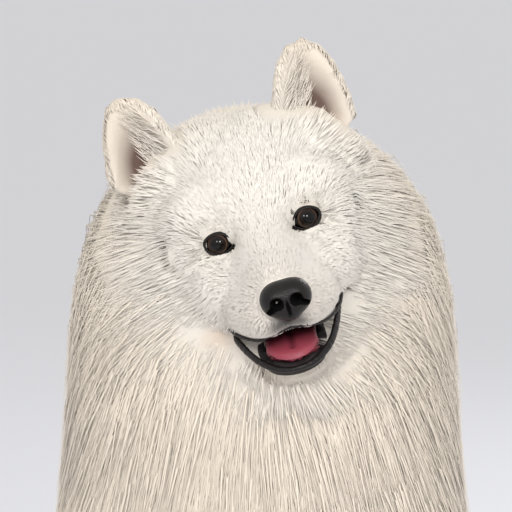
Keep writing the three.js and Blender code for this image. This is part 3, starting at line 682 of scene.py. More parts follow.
# The lie of the coat: directions at places of the left side, mirrored to the right, each with its own reach
BODY_LIES = [
    ((0, -60, 580), (0, -0.25, -1)), ((50, -60, 545), (0.22, -0.05, -1)), ((0, -75, 450), (0, 0.02, -1)),
    ((0, -20, 330), (0, 0.35, -1)), ((105, 20, 600), (0.3, 0.3, -0.9)), ((70, 70, 690), (0.6, 0.5, -0.6)),
    ((0, 120, 650), (0, 0.75, -0.65)), ((0, 150, 520), (0, 0.6, -0.8)), ((130, 60, 440), (0.1, 0.35, -0.9)),
    ((0, 235, 380), (0, 0.6, -0.8)), ((110, 150, 300), (0.1, 0.6, -0.75)), ((0, 345, 220), (0, 0.4, -0.9)),
    ((0, 385, 120), (0, 0.15, -1)), ((165, 190, 190), (0.1, 0.5, -0.8)), ((100, 330, 120), (0.2, 0.4, -0.85)),
    ((75, 90, 220), (0, 0.55, -0.85)), ((66, 0, 60), (0, -0.3, -1)), ((126, 80, 30), (0, -0.8, -0.6)),
    ((67, -30, 20), (0, -0.8, -0.6)),
]
HEAD_LIES = [
    ((0, -60, -18), (0, 0.9, 0.3)), ((20, -52, -38), (0.35, 0.85, -0.3)), ((0, 2, 6), (0, 0.5, 0.85)),
    ((0, 18, 46), (0, 0.7, 0.7)), ((0, 62, 72), (0, 1, 0.1)), ((32, 0, 18), (0.4, 0.5, 0.8)),
    ((34, -8, -22), (0.6, 0.6, -0.5)), ((62, 30, -8), (0.75, 0.45, -0.5)), ((52, 30, -45), (0.5, 0.5, -0.7)),
    ((0, -55, -98), (0, 0.7, -0.7)), ((26, -38, -84), (0.3, 0.6, -0.7)), ((62, 30, 30), (0.7, 0.6, 0.2)),
    ((42, 60, 66), (0.3, 0.9, 0.2)), ((0, 110, 20), (0, 0.5, -0.85)), ((0, -86, -53), (0, 0.15, -1)),
    ((14, -80, -52), (0.5, 0.4, -0.75)), ((30, -40, -60), (0.35, 0.55, -0.75)),
    ((3, -84, -23), (0, 0.7, 0.7)), ((17, -80, -30), (0.6, 0.7, 0.3)), ((19, -82, -42), (0.8, 0.6, -0.2)),
    ((0, -72, -18), (0, 0.9, 0.4)),
]
BODY_REACH, HEAD_REACH = 10.0, 8.0


def both(lies, place, reach):
    found = []
    for at, way in lies:
        for mirror in (list, flip):
            spot = put([mirror(at)], place)[0]
            found.append((spot, unit(aim([mirror(way)], place))[0], reach))
    return found


lie_spots = both(BODY_LIES, np.eye(4), BODY_REACH) + both(HEAD_LIES, head_place, HEAD_REACH)


def coat_lie(points):
    total = np.zeros_like(points)
    for spot, way, reach in lie_spots:
        near = ((points - spot) ** 2).sum(1) + reach * reach
        total += way / (near * near)[:, None]
    return unit(total)


tail_line = curve_points(TAIL_POINTS, 50)
PLUME_SPREAD = 0.45


def tail_lie(points):
    _, which = gap_to(points, tail_line)
    last = len(tail_line) - 1
    ends = tail_line[np.minimum(which + 1, last)] - tail_line[np.maximum(which - 1, 0)]
    out = unit(points - tail_line[which])
    return unit(unit(ends) + PLUME_SPREAD * out)


# Tints: the coat's colour at places of the head, and painted shade over the muzzle, with how wide each
# reaches and how strong it is

def rgb(text):
    """An sRGB hex colour as linear values."""
    parts = [int(text[i:i + 2], 16) / 255 for i in (0, 2, 4)]
    return [v / 12.92 if v <= 0.04045 else ((v + 0.055) / 1.055) ** 2.4 for v in parts]


COAT_WHITE = rgb("F9F3E9")
RUFF_CREAM = rgb("F3E6D4")
WHITE_TO, CREAM_OVER = 60, 80  # the coat turns cream beyond the face, over so many millimetres
TINTS = [
    # the first, grey over the muzzle, is painted shade on the white coat; the others are the coat's own
    # colours
    ((0, -52, -40), 30, "EAE3DC", 0.8), ((0, -86, -55), 7, "3E3A38", 0.9), ((8, -83, -57), 6, "5B5754", 0.8),
    ((46, -22, -62), 8, "D2A983", 0.6), ((32, 4, 4), 15, "E9DFD2", 0.7), ((28, -52, -84), 9, "DDB592", 0.5),
]


def tint_of(points):
    local = put(points, head_back)
    far = np.clip((np.linalg.norm(local, axis=1) - WHITE_TO) / CREAM_OVER, 0, 1)[:, None]
    colour = np.array(COAT_WHITE) * (1 - far) + np.array(RUFF_CREAM) * far
    for at, wide, shade, most in TINTS:
        for mirror in (list, flip):
            share = most * np.exp(-((local - mirror(at)) ** 2).sum(1) / (wide * wide))[:, None]
            colour = colour * (1 - share) + np.array(rgb(shade)) * share
    return colour


# Materials

def add(material, kind, inputs=None, **settings):
    """Adds a shader node with its settings and links."""
    tree = material.node_tree
    made = tree.nodes.new("ShaderNode" + kind)
    for name, value in settings.items():
        setattr(made, name, value)
    for name, value in (inputs or {}).items():
        if isinstance(value, bpy.types.NodeSocket):
            tree.links.new(value, made.inputs[name])
        else:
            made.inputs[name].default_value = value
    return made


def material_of(name):
    made = bpy.data.materials.new(name)
    made.use_nodes = True
    made.node_tree.nodes.clear()
    return made


def surface(material, inputs):
    """Ends a material in one shader with these inputs."""
    shader = add(material, "BsdfPrincipled", inputs)
    out = add(material, "OutputMaterial")
    material.node_tree.links.new(shader.outputs["BSDF"], out.inputs["Surface"])


def stored(material, name, output="Color"):
    """What paint() stored under a name."""
    return add(material, "Attribute", attribute_name=name).outputs[output]


def place_on(material):
    return add(material, "TexCoord").outputs["Object"]


def noise(material, where, scale, detail):
    return add(material, "TexNoise", {"Vector": where, "Scale": scale, "Detail": detail}).outputs["Fac"]


def ranged(material, value, low, high, full=1.0):
    """A value moved to run from low to high, where it runs from 0 to full."""
    limits = {"Value": value, "To Min": low, "To Max": high, "From Max": full}
    return add(material, "MapRange", limits).outputs["Result"]


def scaled(material, colour, amount):
    return add(material, "VectorMath", {0: colour, "Scale": amount}, operation="SCALE").outputs["Vector"]


def raised(material, height, strength, distance):
    """A normal that shows fine relief."""
    relief = {"Height": height, "Strength": strength, "Distance": distance}
    return add(material, "Bump", relief).outputs["Normal"]


def mixed(material, share, first, second):
    """A colour between two, by a share."""
    return add(material, "Mix", {0: share, 6: first, 7: second}, data_type="RGBA").outputs[2]


def solid(text):
    return (*rgb(text), 1)


# Guard hair: each tuft a little lighter or darker than the next, and a little darker towards its root, a
# painted shade of the coat's depth
hair = material_of("white_guard_hair")
tone = ranged(hair, noise(hair, place_on(hair), 260.0, 2.0), 0.97, 1.03)
root_shade = ranged(hair, stored(hair, "along", "Fac"), 0.97, 1.0, 0.6)
shade = add(hair, "Math", {0: tone, 1: root_shade}, operation="MULTIPLY").outputs["Value"]
surface(hair, {
    "Base Color": scaled(hair, stored(hair, "tint"), shade), "Roughness": 0.6, "Sheen Weight": 0.1,
    "Sheen Roughness": 0.4, "Specular IOR Level": 0.2,
})

# Undercoat wool: matt, a little fluffy, in the coat's own tints darkened to 82-90 % as painted shade of its
# place under the guard hair, varied by its curl
fleece = material_of("undercoat_wool")
curl = noise(fleece, place_on(fleece), 420.0, 4.0)
surface(fleece, {
    "Base Color": scaled(fleece, stored(fleece, "tint"), ranged(fleece, curl, 0.82, 0.9)),
    "Roughness": 0.9, "Specular IOR Level": 0.1, "Normal": raised(fleece, curl, 0.3, 0.001),
})

# Skin under the coat: the same tints, with a short fine nap
hide = material_of("furred_skin")
grain = noise(hide, place_on(hide), 900.0, 3.0)
surface(hide, {
    "Base Color": scaled(hide, stored(hide, "tint"), ranged(hide, grain, 0.96, 1.03)),
    "Roughness": 0.75, "Normal": raised(hide, grain, 0.35, 0.0006),
})

# Bare black skin of the lids and lips: moist, finely wrinkled, with a soft gloss
bare_skin = material_of("bare_black_skin")
wrinkle = noise(bare_skin, place_on(bare_skin), 700.0, 4.0)
surface(bare_skin, {
    "Base Color": stored(bare_skin, "tint"), "Roughness": ranged(bare_skin, wrinkle, 0.30, 0.55),
    "IOR": 1.4, "Normal": raised(bare_skin, wrinkle, 0.5, 0.0005),
})

# Nose leather: pebbled, near black, slightly moist, with painted shade darkening it in the nostrils
leather = material_of("nose_leather")
pebble = add(leather, "TexVoronoi", {"Vector": place_on(leather), "Scale": 900.0}).outputs["Distance"]
mottle = noise(leather, place_on(leather), 160.0, 3.0)
nostril_shade = stored(leather, "sunk_shade", "Fac")
black = mixed(leather, mottle, solid("0E0B0B"), solid("211C1B"))
gloss = {0: ranged(leather, mottle, 0.3, 0.42), 1: nostril_shade}
surface(leather, {
    "Base Color": mixed(leather, nostril_shade, black, solid("030202")), "IOR": 1.35,
    "Roughness": add(leather, "Math", gloss, operation="MAXIMUM").outputs["Value"],
    "Normal": raised(leather, pebble, 0.35, 0.0004),
})

# Tongue: wet muscle, rose at the tip, with painted shade along the groove and towards the throat
muscle = material_of("wet_tongue")
buds = noise(muscle, place_on(muscle), 1100.0, 2.0)
surface(muscle, {
    "Base Color": stored(muscle, "tint"), "Roughness": 0.38, "IOR": 1.4, "Subsurface Weight": 0.15,
    "Subsurface Radius": (0.003, 0.001, 0.001), "Normal": raised(muscle, buds, 0.4, 0.0004),
})

# Eye: a dark brown iris with a fine paler rim, a black pupil and a wet cornea over it
gaze = material_of("eye_under_cornea")
ring = add(gaze, "UVMap", uv_map="gaze").outputs["UV"]
centred = add(gaze, "Mapping", {"Vector": ring, "Location": (-0.5, -0.5, 0)}).outputs["Vector"]
reach = add(gaze, "VectorMath", {0: centred}, operation="LENGTH").outputs["Value"]
ramp = add(gaze, "ValToRGB", {"Fac": reach})
STOPS = [
    (0.0, "030202"), (0.17, "040303"), (0.19, "140C08"), (0.272, "21140E"), (0.296, "5E4839"),
    (0.314, "33251E"), (0.33, "080505"), (0.5, "0E0A09"),
]
while len(ramp.color_ramp.elements) < len(STOPS):
    ramp.color_ramp.elements.new(0.5)
for stop, (at, shade_at) in zip(ramp.color_ramp.elements, STOPS):
    stop.position = at
    stop.color = solid(shade_at)
fleck = ranged(gaze, noise(gaze, centred, 45.0, 3.0), 0.7, 1.3)
surface(gaze, {
    "Base Color": scaled(gaze, ramp.outputs["Color"], fleck), "Roughness": 0.5, "Specular IOR Level": 0.0,
    "Coat Weight": 1.0, "Coat Roughness": 0.01, "Coat IOR": 1.376,
})

# Claw horn: smoky, streaked paler
horn = material_of("claw_horn")
smoke = mixed(horn, noise(horn, place_on(horn), 300.0, 2.0), solid("5B4C42"), solid("8C7A6A"))
surface(horn, {"Base Color": smoke, "Roughness": 0.35, "IOR": 1.5})


def dress(thing, material):
    thing.data.materials.clear()
    thing.data.materials.append(material)
    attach(thing, "root")
    return thing


def paint(thing, name, values):
    """Stores one number or one colour per point of a piece."""
    kind = "FLOAT" if values.ndim == 1 else "FLOAT_COLOR"
    made = thing.data.attributes.new(name, kind, "POINT")
    if values.ndim == 1:
        made.data.foreach_set("value", values.astype(np.float32))
    else:
        full = np.column_stack([values, np.ones(len(values))])
        made.data.foreach_set("color", full.astype(np.float32).ravel())


def blank(name, points, faces):
    """A mesh from points in millimetres and faces."""
    mesh = bpy.data.meshes.new(name)
    mesh.from_pydata(to_frame(points).tolist(), [], faces)
    made = bpy.data.objects.new(name, mesh)
    bpy.context.scene.collection.objects.link(made)
    return made


def recalculated(thing):
    choose(thing)
    bpy.ops.object.mode_set(mode="EDIT")
    bpy.ops.mesh.select_all(action="SELECT")
    bpy.ops.mesh.remove_doubles(threshold=1e-6)
    bpy.ops.mesh.normals_make_consistent(inside=False)
    bpy.ops.object.mode_set(mode="OBJECT")
    smooth(thing)
    return thing


def ball(name, segments, rings):
    bpy.ops.mesh.primitive_uv_sphere_add(segments=segments, ring_count=rings, radius=1)
    made = bpy.context.active_object
    made.name = name
    return made


def even_ball(name, cuts):
    """A ball of even faces, from a divided cube."""
    bpy.ops.mesh.primitive_cube_add(size=2)
    made = bpy.context.active_object
    made.name = name
    bpy.ops.object.mode_set(mode="EDIT")
    bpy.ops.mesh.select_all(action="SELECT")
    bpy.ops.mesh.subdivide(number_cuts=cuts)
    bpy.ops.object.mode_set(mode="OBJECT")
    corner = points_of(made)
    set_points(made, unit(np.tan(corner * math.pi / 4)))
    return made


# Eyes: the ball's poles lie on the line of sight, and the cornea stands a little proud
CORNEA_SPREAD = 0.72
CORNEA_RISE = 0.9
for word, (side, _) in SIDES.items():
    eye = ball("eye_ball_" + word, 64, 48)
    round_ = points_of(eye)[:, [0, 2, 1]] * (1, -1, 1)
    open_ = np.arccos(np.clip(-round_[:, 1], -1, 1)) / CORNEA_SPREAD
    swell = np.where(open_ < 1, (1 - open_ ** 2) ** 2, 0)
    shaped = round_ * (EYE_RADIUS + CORNEA_RISE * swell)[:, None]
    set_points(eye, to_frame(put(shaped, eye_place(side))))
    layer = eye.data.uv_layers.new(name="gaze")
    index = read(eye.data.loops, "vertex_index", 1, np.int32)
    flat = shaped[:, [0, 2]] / (2 * EYE_RADIUS) + 0.5
    flat[shaped[:, 1] > 0] = (1, 1)
    layer.data.foreach_set("uv", flat[index].astype(np.float32).ravel())
    recalculated(eye)
    dress(eye, gaze)
    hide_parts("eye_" + word)

# Lids: a rounded black rim along the almond, pale on their outer rows; over the upper one a painted highlight
# on the fold, and above it a dark line, partly lashes and partly painted crease shade
LID_PROFILE = [  # outward from the opening, height over the ball
    (1.5, -2.5), (-0.3, -1.2), (-0.4, 0.0), (-0.2, 0.9), (0.3, 1.5), (0.9, 1.8), (1.6, 1.7), (2.0, 1.7),
    (2.4, 1.8), (2.9, 1.6), (3.3, 0.6), (3.7, -1.0),
]
LID_STEPS, PALE_FROM, LASH_CREASE_ROW = 96, 8, 9
LID_FLATTER, LEAST_SQUARED = 0.84, 16  # the lids wrap less than the ball, and stay before its middle
BLACK_SKIN, LID_PALE_AND_HIGHLIGHT, LASH_AND_CREASE_SHADE = rgb("0F0B0A"), rgb("E6DCCF"), rgb("3B2F29")
for word, (side, _) in SIDES.items():
    turns = np.linspace(0, 2 * math.pi, LID_STEPS, endpoint=False)
    wide, high = ALMOND_WIDTH / 2, ALMOND_HEIGHT / 2
    x = np.cos(turns)
    z = np.sin(turns) / np.sqrt(almond_pinch(x, side))
    rim = np.column_stack([x * wide - side * ALMOND_SHIFT, z * high])
    ahead = np.roll(rim, -1, 0) - np.roll(rim, 1, 0)
    out = unit(np.column_stack([ahead[:, 1], -ahead[:, 0]]))
    rows = []
    for away, lift in LID_PROFILE:
        flat = rim + out * away
        squared = EYE_RADIUS ** 2 - (LID_FLATTER * flat[:, 0]) ** 2 - flat[:, 1] ** 2
        deep = np.sqrt(np.maximum(squared, LEAST_SQUARED))
        scale = (EYE_RADIUS + lift) / EYE_RADIUS
        rows.append(np.column_stack([flat[:, 0], -deep * scale, flat[:, 1]]))
    rows = np.array(rows)
    count = len(rows)
    faces = []
    for i in range(count):
        for j in range(LID_STEPS):
            k, m = (i + 1) % count, (j + 1) % LID_STEPS
            faces.append((i * LID_STEPS + j, i * LID_STEPS + m, k * LID_STEPS + m, k * LID_STEPS + j))
    lid = blank("lids_" + word, put(rows.reshape(-1, 3), eye_place(side)), faces)
    upper = np.clip(np.sin(turns) * 2 - 0.3, 0, 1)[:, None]
    shade_at = np.repeat(np.array(BLACK_SKIN)[None, None], count, 0).repeat(LID_STEPS, 1)
    shade_at[PALE_FROM:] = LID_PALE_AND_HIGHLIGHT
    # over the upper lid: the row before the pale ones gets a painted highlight, and the lash row a brown that
    # is partly lashes and partly painted crease shade
    for row, shade in ((PALE_FROM - 1, LID_PALE_AND_HIGHLIGHT), (LASH_CREASE_ROW, LASH_AND_CREASE_SHADE)):
        shade_at[row] = shade_at[row] * (1 - upper) + np.array(shade) * upper
    paint(lid, "tint", shade_at.reshape(-1, 3))
    recalculated(lid)
    dress(lid, bare_skin)

# Nose: leather with two comma-shaped nostrils and the groove between them
NOSTRILS = []
for side in (1, -1):
    NOSTRILS.append(egg(NOSE_AT + (side * 6.8, -9, -2.4), (4.4, 9.0, 4.2), 0, (0, side * -20, 0)))
    NOSTRILS.append(egg(NOSE_AT + (side * 11.5, -7.5, -6.0), (5.0, 8.0, 2.0), 0, (0, side * 30, 0)))
NOSTRILS.append(egg(NOSE_AT + (0, -12, -9), (1.1, 4.6, 8)))


def pressed_in(local, hole):
    """Moves the points over a hole back to the hole's rear wall."""
    _, centre, half, axes = hole.start
    q = (local - centre) @ axes / half
    flat = q[:, 0] ** 2 + q[:, 2] ** 2
    rear = np.sqrt(np.maximum(1 - flat, 0))
    q[:, 1] = np.where((flat < 1) & (local[:, 1] < NOSE_AT[1]), np.maximum(q[:, 1], rear), q[:, 1])
    return (q * half) @ axes.T + centre


nose = even_ball("nose_leather", 47)
NOSE_START = (22, 12, 14)
nose_start = put(points_of(nose) * NOSE_START + NOSE_AT, head_place)
nose_points, _ = settle(nose_field, nose_start, filled(len(nose_start)), 8, 4.0)
nose_local = put(nose_points, head_back)
for hole in NOSTRILS:
    nose_local = pressed_in(nose_local, hole)
nose_points = put(nose_local, head_place)
set_points(nose, to_frame(nose_points))
modify(nose, "SMOOTH", factor=0.5, iterations=2)
# Painted shade: the leather darkens with how deep it lies inside the nose's own form, in the nostrils
DARK_FROM = 1.8  # how far inside the nose's own form a nostril is wholly dark
sunk_shade = -nose_field(nose_points, filled(len(nose_points)))
paint(nose, "sunk_shade", np.clip(sunk_shade / DARK_FROM, 0, 1))
recalculated(nose)
dress(nose, leather)
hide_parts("nose")

# Tongue: a broad rose tongue with a groove along its middle, its tip behind the lower lip
tongue_field = blend([
    egg((0, -34, -75), (18.5, 30, 6), 0, (10, 0, 0)),
    egg((0, -55, -82), (17.5, 12, 6), 0, (34, 0, 0)),
], PAW_BLEND, jaw_place)
tongue = ball("tongue_muscle", 96, 64)
TONGUE_START, TONGUE_AT = (19, 34, 8), (0, -40, -77)
tongue_start = points_of(tongue) * TONGUE_START + TONGUE_AT
tongue_points, _ = settle(tongue_field, put(tongue_start, jaw_place), filled(len(tongue_start)), 8, 4.0)
tongue_local = put(tongue_points, jaw_back)
GROOVE_WIDE, GROOVE_DEEP, GROOVE_END, GROOVE_SHADE = 2.2, 1.3, -62, 0.35
RIM_FROM, RIM_OVER, RIM_RISE = 12, 6, 1.2
BACK_FROM, BACK_OVER, BACK_RISE, SHADE_OVER = -66, 30, 7, 22
TIP_AHEAD = 2.5
groove = np.exp(-(tongue_local[:, 0] / GROOVE_WIDE) ** 2) * (tongue_local[:, 1] > GROOVE_END)
rim_lift = np.clip((np.abs(tongue_local[:, 0]) - RIM_FROM) / RIM_OVER, 0, 1) * RIM_RISE
back_lift = BACK_RISE * np.clip((tongue_local[:, 1] - BACK_FROM) / BACK_OVER, 0, 1) ** 1.2
tongue_local[:, 2] += rim_lift - groove * GROOVE_DEEP + back_lift
tongue_local[:, 1] -= TIP_AHEAD
set_points(tongue, to_frame(put(tongue_local, jaw_place)))
# Painted shade: the tongue darkens towards the throat and along its groove; its rose is partly its own colour
# and partly painted shade of the mouth
back_shade = np.clip((tongue_local[:, 1] - BACK_FROM) / SHADE_OVER, 0, 1)[:, None]
TONGUE_ROSE, THROAT_SHADE = rgb("A04452"), rgb("3A1217")
rose = np.array(TONGUE_ROSE) * (1 - back_shade) + np.array(THROAT_SHADE) * back_shade
rose = rose * (1 - GROOVE_SHADE * groove[:, None])
paint(tongue, "tint", rose)
recalculated(tongue)
dress(tongue, muscle)
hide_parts("tongue")


# Lips: black rims, broader along the lower jaw

def tube(name, line, inward, up_of, wide, thick, wrinkles, bare_shade):
    """A black rim along a line, moved inward, with closed and narrowed ends."""
    count, around = len(line), 14
    ahead = unit(np.gradient(line, axis=0))
    across = unit(np.cross(ahead, up_of))
    up = unit(np.cross(across, ahead))
    ends = np.clip(np.minimum(np.arange(count), np.arange(count)[::-1]) / 5, 0.12, 1)
    steps = np.arange(count)
    ripple = 1 + wrinkles * (np.sin(steps * 0.83 + 2 * np.sin(steps * 0.21)) + np.sin(steps * 1.37 + 1))
    rings = []
    for j in range(around):
        turn = 2 * math.pi * j / around
        rings.append(line + inward + across * (math.cos(turn) * thick * ends * ripple)[:, None]
                     + up * (math.sin(turn) * wide * ends)[:, None])
    rings = np.array(rings).transpose(1, 0, 2).reshape(-1, 3)
    points = np.vstack([rings, line[:1] + inward[:1], line[-1:] + inward[-1:]])
    faces = []
    for i in range(count - 1):
        for j in range(around):
            k = (j + 1) % around
            faces.append((i * around + j, i * around + k, (i + 1) * around + k, (i + 1) * around + j))
    for j in range(around):
        k = (j + 1) % around
        faces.append((len(rings), k, j))
        faces.append((len(rings) + 1, (count - 1) * around + j, (count - 1) * around + k))
    made = blank(name, points, faces)
    paint(made, "tint", np.tile(rgb(bare_shade), (len(points), 1)))
    recalculated(made)
    return dress(made, bare_skin)


head_up = aim([[0, 0, 1]], head_place)[0]
head_ahead = aim([[0, -1, 0]], head_place)[0]
LOWER_COUNT, LOWER_HIGH = 160, ([0, 0.35, 0.7, 1], [1.8, 2.6, 3.2, 1.8])
UPPER_COUNT, UPPER_HIGH = 120, ([0, 0.4, 1], [0.9, 1.0, 1.6])
fine_lower = put(curve_points(LOWER_LIP, LOWER_COUNT), jaw_place)
fine_upper = put(curve_points(UPPER_LIP, UPPER_COUNT), head_place)
lower_high = np.interp(np.abs(np.linspace(-1, 1, LOWER_COUNT)), *LOWER_HIGH)
upper_high = np.interp(np.abs(np.linspace(-1, 1, UPPER_COUNT)), *UPPER_HIGH)
LOWER_DOWN, LOWER_BACK, LOWER_THICK, LOWER_RIPPLE = 1.2, 1.2, 1.9, 0.07
UPPER_UP, UPPER_BACK, UPPER_THICK, UPPER_RIPPLE = 2.4, 3.0, 1.2, 0.05
lower_in = head_up * (lower_high[:, None] - LOWER_DOWN) - head_ahead * LOWER_BACK
upper_in = np.tile(-head_ahead * UPPER_BACK + head_up * UPPER_UP, (UPPER_COUNT, 1))
tube("lower_lip", fine_lower, lower_in, head_up, lower_high, LOWER_THICK, LOWER_RIPPLE, "171212")
tube("upper_lip", fine_upper, upper_in, head_up, upper_high, UPPER_THICK, UPPER_RIPPLE, "1A1415")

# Claws: short curved horn at the tip of each toe
CLAW_RADIUS, CLAW_LENGTH, CLAW_AHEAD = 3.4, 17, 19
CLAW_FLAT, CLAW_REACH, CLAW_DROP, CLAW_LOW, CLAW_FLOOR = 0.8, 0.8, 0.55, 1, 0.3
claws = []
for _, mirror in SIDES.values():
    for foot in (FORE_FOOT, HIND_FOOT):
        for toe in toes_of(foot):
            claw = ball("claw", 14, 12)
            shape = points_of(claw)
            along_claw = (shape[:, 2] + 1) / 2
            narrow = CLAW_RADIUS * (1 - along_claw ** 1.6)
            drop = -CLAW_LENGTH * CLAW_DROP * along_claw ** 1.8
            edge = unit(shape[:, :2]) * np.sqrt(np.clip(1 - shape[:, 2] ** 8, 0, 1))[:, None]
            x, y, z = mirror(toe)
            made = np.column_stack([
                x + edge[:, 0] * narrow * CLAW_FLAT,
                y - CLAW_AHEAD - along_claw * CLAW_LENGTH * CLAW_REACH,
                z - CLAW_LOW + edge[:, 1] * narrow + drop,
            ])
            made[:, 2] = np.maximum(made[:, 2], CLAW_FLOOR)
            set_points(claw, to_frame(made))
            claws.append(claw)
claw_piece = joined("claws", claws)
recalculated(claw_piece)
dress(claw_piece, horn)


def unwrapped(thing):
    choose(thing)
    bpy.ops.object.mode_set(mode="EDIT")
    bpy.ops.mesh.select_all(action="SELECT")
    bpy.ops.uv.smart_project(angle_limit=math.radians(66), island_margin=0.001)
    bpy.ops.object.mode_set(mode="OBJECT")
    return thing.data.uv_layers[0]


# An unwrap of the skin, whose places the tufts' own small patches take
unwrap = read(unwrapped(skin).data, "uv", 2)
skin_points = from_frame(points_of(skin))
skin.data.calc_loop_triangles()
corners = read(skin.data.loop_triangles, "vertices", 3, np.int32)
loops = read(skin.data.loop_triangles, "loops", 3, np.int32)
tri = skin_points[corners]
middle = tri.mean(1)
square = np.cross(tri[:, 1] - tri[:, 0], tri[:, 2] - tri[:, 0])
area = np.linalg.norm(square, axis=1) / 2
normal = unit(square)

# Undercoat: dense short wool under the guard hair, wherever the coat is long
WOOL_VOXEL = 9
WOOL_GAP, WOOL_PART = 2.2, 0.035  # how far under the coat's surface it lies: so much, and a part of the depth
THIN_SINK, WOOL_FLOOR = 3.0, 1.5  # it sinks into the skin where the coat is thin, and keeps off the floor
MUZZLE_BOX = ((0, -86, -52), (46, 96, 42))  # no wool is wanted in the mouth
undercoat = joined("coat_undercoat", all_masses())
modify(undercoat, "REMESH", mode="VOXEL", voxel_size=WOOL_VOXEL * MM)
bpy.ops.mesh.primitive_cube_add(size=2)
face_box = bpy.context.active_object
corners_at = points_of(face_box) * MUZZLE_BOX[1] + MUZZLE_BOX[0]
set_points(face_box, to_frame(put(corners_at, head_place)))
modify(undercoat, "BOOLEAN", operation="DIFFERENCE", object=face_box, solver="EXACT")
bpy.data.objects.remove(face_box)
modify(undercoat, "REMESH", mode="VOXEL", voxel_size=WOOL_VOXEL * MM)
wool = from_frame(points_of(undercoat))
in_box = np.abs(put(wool, head_back) - MUZZLE_BOX[0]) < np.array(MUZZLE_BOX[1]) + 3
held = in_box.all(1)[:, None]
cut = wool
wool, _ = settle(coat_field, wool, filled(len(wool)), 3, 6.0)
thick = -coat_field(wool, filled(len(wool), 1.0))
share = np.clip(1 - WOOL_PART - WOOL_GAP / np.maximum(thick, 1), 0, 1)
for step in (0.4, 0.7, 1):
    wool, _ = settle(coat_field, wool, share * step, 1, 40.0)
wool, wool_out = settle(coat_field, wool, share, 1, 40.0)
wool -= wool_out * (THIN_SINK * (1 - np.clip(share * 4, 0, 1)))[:, None]
wool[:, 2] = np.maximum(wool[:, 2], WOOL_FLOOR)
wool = np.where(held, cut, wool)
set_points(undercoat, to_frame(wool))
modify(undercoat, "SMOOTH", factor=0.5, iterations=4)
recalculated(undercoat)
unwrapped(undercoat).name = "OFBake"

# The region of each face, by the nearest part of the body
NAMES = ["trunk", "head", "jaw", "tail", *limbs]
TRUNK_PART, HEAD_PART, JAW_PART, TAIL_PART, LIMBS_FROM = range(5)
EAR_LEAST = 0.3
zero = filled(len(middle))
values = [field(middle, zero) for field in ALL_FIELDS]
region = np.argmin(values, axis=0)
is_ear = ear_share(middle) > EAR_LEAST
local_head = put(middle, head_back)
depth = -coat_field(middle, zero + 1)

# Bare places: the open eyes, the nose, the mouth and the undersides of the feet
away_eye = np.full(len(middle), 1e9)
for side in (1, -1):
    local = eye_local(middle, side)
    edge = np.where(local[:, 1] < 4, almond_edge(local, side), 1e9)
    away_eye = np.minimum(away_eye, edge)
in_mouth = mouth_inside(middle, 0.5, 11)
away_nose = nose_field(middle, zero)
away_lip = np.minimum(gap_to(middle, upper_lip)[0], gap_to(middle, lower_lip)[0])
EYE_RIM, SOLE = 2.6, 4
bare_place = (away_eye < EYE_RIM) | (away_nose < 0) | in_mouth | (middle[:, 2] < SOLE)
EYE_TRIM, NOSE_TRIM, LIP_TRIM = ([3, 22], [0.35, 1]), ([0, 12], [0.4, 1]), ([1, 9], [0.45, 1])
trim = np.interp(away_eye, *EYE_TRIM) * np.interp(away_nose, *NOSE_TRIM) * np.interp(away_lip, *LIP_TRIM)

# The hollow of each ear, where hair grows only on the side by the crown
HOLLOW_EDGE, HOLLOW_LOW, HOLLOW_TOP, HOLLOW_REACH, CROWN_SIDE = 7, -8, 14, 24, -0.15
FACES_AHEAD = 0.2
in_cup = np.zeros(len(middle), bool)
cup_side = np.zeros(len(middle))  # across each ear, below 0 towards the crown
for side in (1, -1):
    local = ear_local(middle, side)
    wide = np.interp(local[:, 2], [a * EAR_HEIGHT for a, _ in EAR_SHARES], [b for _, b in EAR_SHARES])
    width_here = wide * EAR_HALF - HOLLOW_EDGE
    ahead_here = aim(normal, np.linalg.inv(ear_place(side)))[:, 1] < FACES_AHEAD
    level_here = (local[:, 2] > HOLLOW_LOW) & (local[:, 2] < EAR_HEIGHT - HOLLOW_TOP)
    near_here = (np.abs(local[:, 0]) < width_here) & (np.abs(local[:, 1]) < HOLLOW_REACH)
    in_cup |= near_here & ahead_here & level_here
    mine = local_head[:, 0] * side > 0
    cup_side[mine] = side * local[mine, 0] / EAR_HALF

# Tufts per square centimetre, thinning from the neck to the rump
LIMB_TUFTS, CHEST_TUFTS, TAIL_TUFTS = 5, 22, 12
HEAD_TUFTS, FACE_TUFTS, EAR_TUFTS, HOLLOW_TUFTS = 52, 105, 85, 24
TRUNK_TUFTS = ([60, 130, 300], [52, 9, 5])
CHEST_FRONT, CHEST_TOP = 60, 420
dense = filled(len(middle), float(LIMB_TUFTS))
in_trunk = region == TRUNK_PART
dense[in_trunk] = np.interp(middle[in_trunk, 1], *TRUNK_TUFTS)
dense[in_trunk & (middle[:, 2] < CHEST_TOP) & (middle[:, 1] < CHEST_FRONT)] = CHEST_TUFTS
dense[region == TAIL_PART] = TAIL_TUFTS
in_skull = (region == HEAD_PART) | (region == JAW_PART)
dense[in_skull] = HEAD_TUFTS
dense[on_face(middle) & in_skull] = FACE_TUFTS
dense[is_ear] = EAR_TUFTS
dense[in_cup] = np.where(cup_side[in_cup] < CROWN_SIDE, HOLLOW_TUFTS, 0)
dense[bare_place] = 0
SQUARE_CENTIMETRE, QUICK_SHARE = 100, 4
weight = area * dense / SQUARE_CENTIMETRE
total = int(weight.sum())
chain = np.cumsum(weight)
picks = np.searchsorted(chain, (np.arange(total) + rng.random(total)) * chain[-1] / total)
picks = np.minimum(picks, len(chain) - 1)
u = np.sqrt(rng.random(total))
v = rng.random(total)
shares = np.column_stack([1 - u, u * (1 - v), u * v])
roots = (tri[picks] * shares[:, :, None]).sum(1)
root_uv = (unwrap[loops[picks]] * shares[:, :, None]).sum(1)
smooth_normal = read(skin.data.vertices, "normal", 3).astype(float)
root_normal = unit((smooth_normal[corners[picks]] * shares[:, :, None]).sum(1))
